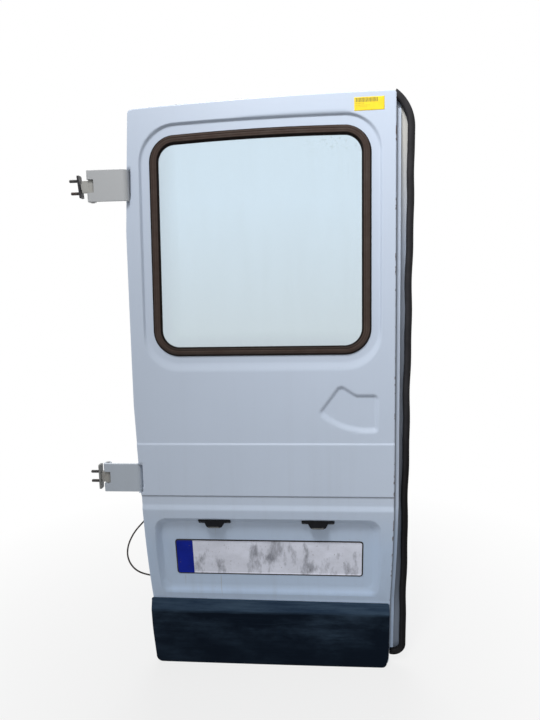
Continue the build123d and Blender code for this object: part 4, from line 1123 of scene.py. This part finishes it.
class BARNDOOR_OT_trim(bpy.types.Operator):
    """Lower trim moulding"""

    bl_idname = "barn_door.trim"
    bl_label = "Lower trim"

    def execute(self, context):
        z = np.arange(-600.0, -350.0, 0.5)
        side = np.interp(z, (-600.0, TRIM_LOW, -407.0, TRIM_TOP), (44.0, 41.0, 27.0, 39.6))
        depth = smoothed(side, 27)
        on_skin, skin_front = -384.0, 37.5
        drop, tilt, slant = 3.0, 4.0, 6.0

        def height(x, v):
            crown = 1.2 * (1.0 - ((x - MIDDLE) / 338.0) ** 2)
            return -(np.interp(v, z, depth) - crown * smooth_step((-395.0 - v) / 60.0))

        rows = lines(
            (TRIM_LOW, 0.7), (-574.0, 3.0), (-548.0, 8.0), (-424.0, 2.2), (on_skin, 3.0), (-376.0, 1.0),
            TRIM_TOP,
        )
        columns = lines((TRIM_LEFT, 1.5), (117.5, 4.0), (150.0, 10.0), (755.0, 4.0), (788.0, 1.5), TRIM_RIGHT)
        patch = pressed_panel(
            FACE, columns, rows, lambda v: TRIM_LEFT + slant * smooth_step((-445.0 - v) / 150.0),
            lambda v: TRIM_RIGHT - slant * smooth_step((-535.0 - v) / 40.0),
            lambda x: TRIM_TOP - drop - tilt * (x - TRIM_LEFT) / (TRIM_RIGHT - TRIM_LEFT),
            (18.0, 12.0, 4.0, 4.0), height, 3.0, 8.0,
        )
        high = patch[0][:, 2] > on_skin
        patch[0][high, 1] = np.minimum(patch[0][high, 1], skin_front)
        plastic = scuffed_plastic("trim_plastic", colours().trim, colours().scuff)
        trim = make_piece(
            "trim_moulding", patch, plastic, "lower_trim",
            lambda x, y, v: smooth_step((v + 424.0) / 30.0),
        )
        sheet_wall(trim, 2.5)
        return {"FINISHED"}


class BARNDOOR_OT_plate(bpy.types.Operator):
    """Number plate with its border and bare band, and the two lamps above it"""

    bl_idname = "barn_door.plate"
    bl_label = "Plate and lamps"

    def execute(self, context):
        border = sizes().plate_border / MM
        left, right, low, top, corner, _ = PLATE_BOX
        rows = lines((low, 0.7), (-287.0, 2.0), (-281.0, 10.0), (-203.0, 2.0), (-197.0, 0.7), top)
        columns = lines((left, 0.7), (206.5, 2.0), (212.5, 12.0), (700.5, 2.0), (706.5, 0.7), right)
        patch = pressed_panel(
            PLATE, columns, rows, flat(left), flat(right), flat(top), (corner,) * 4,
            lambda u, v: 1.5 + 1.1 * np.exp(-((plate_inside(u, v) - 4.5) / 1.6) ** 2), 0.6, 0.7,
        )
        face = plate_face("plate_face", colours().plate, colours().band)
        plate = make_piece(
            "plate", patch, face, "number_plate",
            lambda x, y, z: smooth_step((border - plate_inside(x, z * RECESS.stretch)) / 1.4),
        )
        sheet_wall(plate, 0.9)

        black = plain_plastic("lamp_plastic", (0.0045, 0.0048, 0.006))
        clear = lamp_lens("lamp_lens")
        steel = bare_metal("screw_steel", (0.045, 0.045, 0.048), 0.5)
        body = [(44.0, 9.0, 4.0, -0.3)] + rounded_stack(44.0, 9.0, 4.0, 0.2, 4.5, 1.4)
        body += [(27.6, 7.9, 3.5, 4.6), (27.0, 7.5, 3.5, 5.4), (21.6, 6.2, 3.2, 15.4), (19.4, 5.6, 3.0, 17.4)]
        body += [(18.0, 4.8, 2.6, 18.0), (16.6, 4.0, 2.6, 18.0), (16.4, 3.8, 2.4, 17.3)]
        lens = [(16.0, 3.5, 2.4, 17.1)] + rounded_stack(16.0, 3.5, 2.4, 18.2, 20.0, 1.2)
        screw = round_rings((3, 4.1), (3, 4.9), (2.2, 5.5), (0.6, 5.6))
        lamp_from_middle, roof_depth, roof_height, roof_up = 140.5, -1.99, -123.68, (0, -20.93, 17.79)
        for name, side in (("left", -1), ("right", 1)):
            roof = Frame2((MIDDLE + side * lamp_from_middle, roof_depth, roof_height), (1, 0, 0), roof_up)
            patch = stacked_rings(roof, 0, body, 72)
            make_piece(f"lamp_{name}", patch, black, f"plate_lamp_{name}")
            patch = stacked_rings(roof, 0, lens, 48)
            make_piece(f"lens_{name}", patch, clear, f"plate_lamp_lens_{name}")
            patch = joined(*(stacked_rings(roof, at, screw, 24) for at in (-36.0, 36.0)))
            make_piece(f"lamp_screws_{name}", patch, steel)
        return {"FINISHED"}


class BARNDOOR_OT_seal(bpy.types.Operator):
    """Seal on the meeting edge"""

    bl_idname = "barn_door.seal"
    bl_label = "Meeting edge seal"

    def execute(self, context):
        line_x, bend_top, bend_low, radius_top, radius_low = 833.0, 890.0, -518.0, 105.0, 26.0
        half_wide, middle, half_high, squareness = 9.0, 8.0, 7.9, 0.72
        high = np.radians(np.linspace(54.0, 0.0, 44))
        low = np.radians(np.linspace(0.0, -108.0, 32))
        x = np.concatenate([
            line_x - radius_top + radius_top * np.cos(high), np.full(120, line_x),
            line_x - radius_low + radius_low * np.cos(low),
        ])
        z = np.concatenate([
            bend_top + radius_top * np.sin(high), np.linspace(bend_top, bend_low, 122)[1:-1],
            bend_low + radius_low * np.sin(low),
        ])
        straight = smooth_step((z + 500.0) / 120.0) * smooth_step((860.0 - z) / 120.0)
        x = x + straight * (0.9 * np.sin(z / 47.0) + 0.7 * np.sin(z / 23.0 + 1.3))
        path = np.stack([x, z], axis=1)
        tangent = np.gradient(path, axis=0)
        tangent /= np.linalg.norm(tangent, axis=1)[:, None]
        side = np.stack([-tangent[:, 1], tangent[:, 0]], axis=1)
        angle = np.linspace(0.0, 2 * math.pi, 56, endpoint=False)
        across = half_wide * np.sign(np.cos(angle)) * np.abs(np.cos(angle)) ** squareness
        out = middle + half_high * np.sign(np.sin(angle)) * np.abs(np.sin(angle)) ** squareness
        rib = 0.35 * np.cos(across * 2.2) * smooth_step((out - 9.0) / 5.0)
        out = out + rib - 0.35
        ends = np.concatenate([[0.0, 0.55, 0.85], np.ones(len(path)), [0.85, 0.55, 0.0]])[:, None]
        at = np.concatenate([[0, 0, 0], np.arange(len(path)), [-1, -1, -1]])
        u, v = (path[at, axis, None] + side[at, axis, None] * across * ends for axis in (0, 1))
        u = np.where(v > 800.0, np.maximum(u, SKIN_RIGHT + 0.7), u)
        patch = LAND.place(u, v, middle + (out - middle) * ends), quads(len(at), len(angle), closed=True)

        def dark(x, y, z):
            right = smooth_step((x - 829.0) / 8.0) * 0.5
            return np.clip(right + smooth_step((250.0 - z) / 420.0) * 0.75, 0.0, 1.0)

        rubber = aged_rubber("seal_rubber", colours().seal, (0.06, 0.058, 0.062), 0.4, True)
        make_piece("edge_seal", patch, rubber, "meeting_edge_seal", dark)
        return {"FINISHED"}


class BARNDOOR_OT_hinges(bpy.types.Operator):
    """Hinge arms, pins and brackets, and studs with rolled threads"""

    bl_idname = "barn_door.hinges"
    bl_label = "Hinges"

    def execute(self, context):
        dark = hinge_bracket("dark_bracket", (0.022, 0.021, 0.024), (0.42, 0.42, 0.40), 0.0646, 0.0875)
        grey = hinge_bracket("grey_bracket", (0.22, 0.225, 0.22), (0.34, 0.335, 0.315), 0.0055, 0.0)
        finish_node(["upper_hinge_arm"], weathered_paint("upper_arm_paint", (0.46, 0.475, 0.49), False))
        finish_node(["lower_hinge_arm"], weathered_paint("lower_arm_paint", (0.43, 0.48, 0.545), False))
        finish_node(["upper_hinge_pin", "lower_hinge_pin"], bare_metal("pin_steel", (0.3, 0.3, 0.31), 0.8))
        finish_node(["upper_hinge_bracket"], dark)
        finish_node(["lower_hinge_bracket"], grey)
        steel = bare_metal("stud_steel", (0.09, 0.088, 0.087), 0.5)
        pitch = sizes().thread_pitch / MM
        shank, root, tooth, shank_end, tip = 3.2, 3.36, 0.64, 5.2, 1.6
        angle = np.linspace(0.0, 2 * math.pi, 32, endpoint=False)
        for name in ("upper_stud_top", "upper_stud_bottom", "lower_stud_top", "lower_stud_bottom"):
            low, high = (np.asarray(corner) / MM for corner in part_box(name))
            axis = Frame2((high[0], 0.0, (low[2] + high[2]) / 2), (0, -1, 0), (0, 0, 1))
            length = high[0] - low[0]
            along = np.linspace(0.0, length, int(length / pitch * 8))
            along = np.concatenate([[0.0, 0.0], along, [length, length]])[:, None]
            phase = along / pitch - angle / (2 * math.pi)
            wave = np.abs(2.0 * (phase - np.floor(phase)) - 1.0)
            cut = smooth_step((along - shank_end) / 1.2)
            radius = (1.0 - cut) * shank + cut * (root + tooth * wave)
            radius = radius - 1.4 * smooth_step((along - length + tip) / tip)
            radius[[0, -1]] = 0.0
            patch = axis.place(radius * np.cos(angle), radius * np.sin(angle), along)
            patch = patch, quads(len(along), len(angle), closed=True)
            make_piece(f"{name}_thread", patch, steel, name, body=PILLAR)
        return {"FINISHED"}


class BARNDOOR_OT_details(bpy.types.Operator):
    """Paper sticker, and the latches, rods and lever on the inside"""

    bl_idname = "barn_door.details"
    bl_label = "Sticker and inner fittings"

    def execute(self, context):
        x, z = np.meshgrid(np.linspace(690.0, 763.4, 38), np.linspace(927.5, 959.5, 20))
        z = z + (x - 727.0) * 0.012
        patch = FACE.place(x, z, -skin_depth(x, z) + 0.25), quads(*x.shape)
        paper = sticker_paper("sticker_paper", colours().sticker)
        sheet_wall(make_piece("paper_sticker", patch, paper), 0.2)
        zinc = bare_metal("latch_zinc", (0.46, 0.44, 0.38), 0.5, 0.32, 0.5)
        finish_node(["upper_latch", "lower_latch", "upper_lock_rod", "lower_lock_rod"], zinc)
        finish_node(["release_lever"], plain_plastic("lever_plastic", (0.014, 0.014, 0.015)))
        return {"FINISHED"}


class BARNDOOR_PT_panel(bpy.types.Panel):
    """Lists the door's operators and settings"""

    bl_label = "Barn Door"
    bl_idname = "BARNDOOR_PT_panel"
    bl_space_type = "VIEW_3D"
    bl_region_type = "UI"
    bl_category = "Barn Door"

    def draw(self, context):
        for operator in OPERATORS:
            self.layout.operator(operator.bl_idname)
        for settings in (colours(), sizes()):
            for key in settings.__annotations__:
                self.layout.prop(settings, key)


OPERATORS = (
    BARNDOOR_OT_stage, BARNDOOR_OT_cable, BARNDOOR_OT_skin, BARNDOOR_OT_window, BARNDOOR_OT_trim,
    BARNDOOR_OT_plate, BARNDOOR_OT_seal, BARNDOOR_OT_hinges, BARNDOOR_OT_details,
)
CLASSES = (DoorColours, DoorSizes, *OPERATORS, BARNDOOR_PT_panel)


def register():
    for cls in CLASSES:
        bpy.utils.register_class(cls)
    bpy.types.Scene.barn_door_colours = bpy.props.PointerProperty(type=DoorColours)
    bpy.types.Scene.barn_door_sizes = bpy.props.PointerProperty(type=DoorSizes)


def unregister():
    del bpy.types.Scene.barn_door_sizes
    del bpy.types.Scene.barn_door_colours
    for cls in reversed(CLASSES):
        bpy.utils.unregister_class(cls)


def main():
    register()
    bpy.ops.barn_door.stage()
    bpy.ops.barn_door.cable()
    bpy.ops.barn_door.skin()
    bpy.ops.barn_door.window()
    bpy.ops.barn_door.trim()
    bpy.ops.barn_door.plate()
    bpy.ops.barn_door.seal()
    bpy.ops.barn_door.hinges()
    bpy.ops.barn_door.details()


if __name__ == "__main__":
    main()
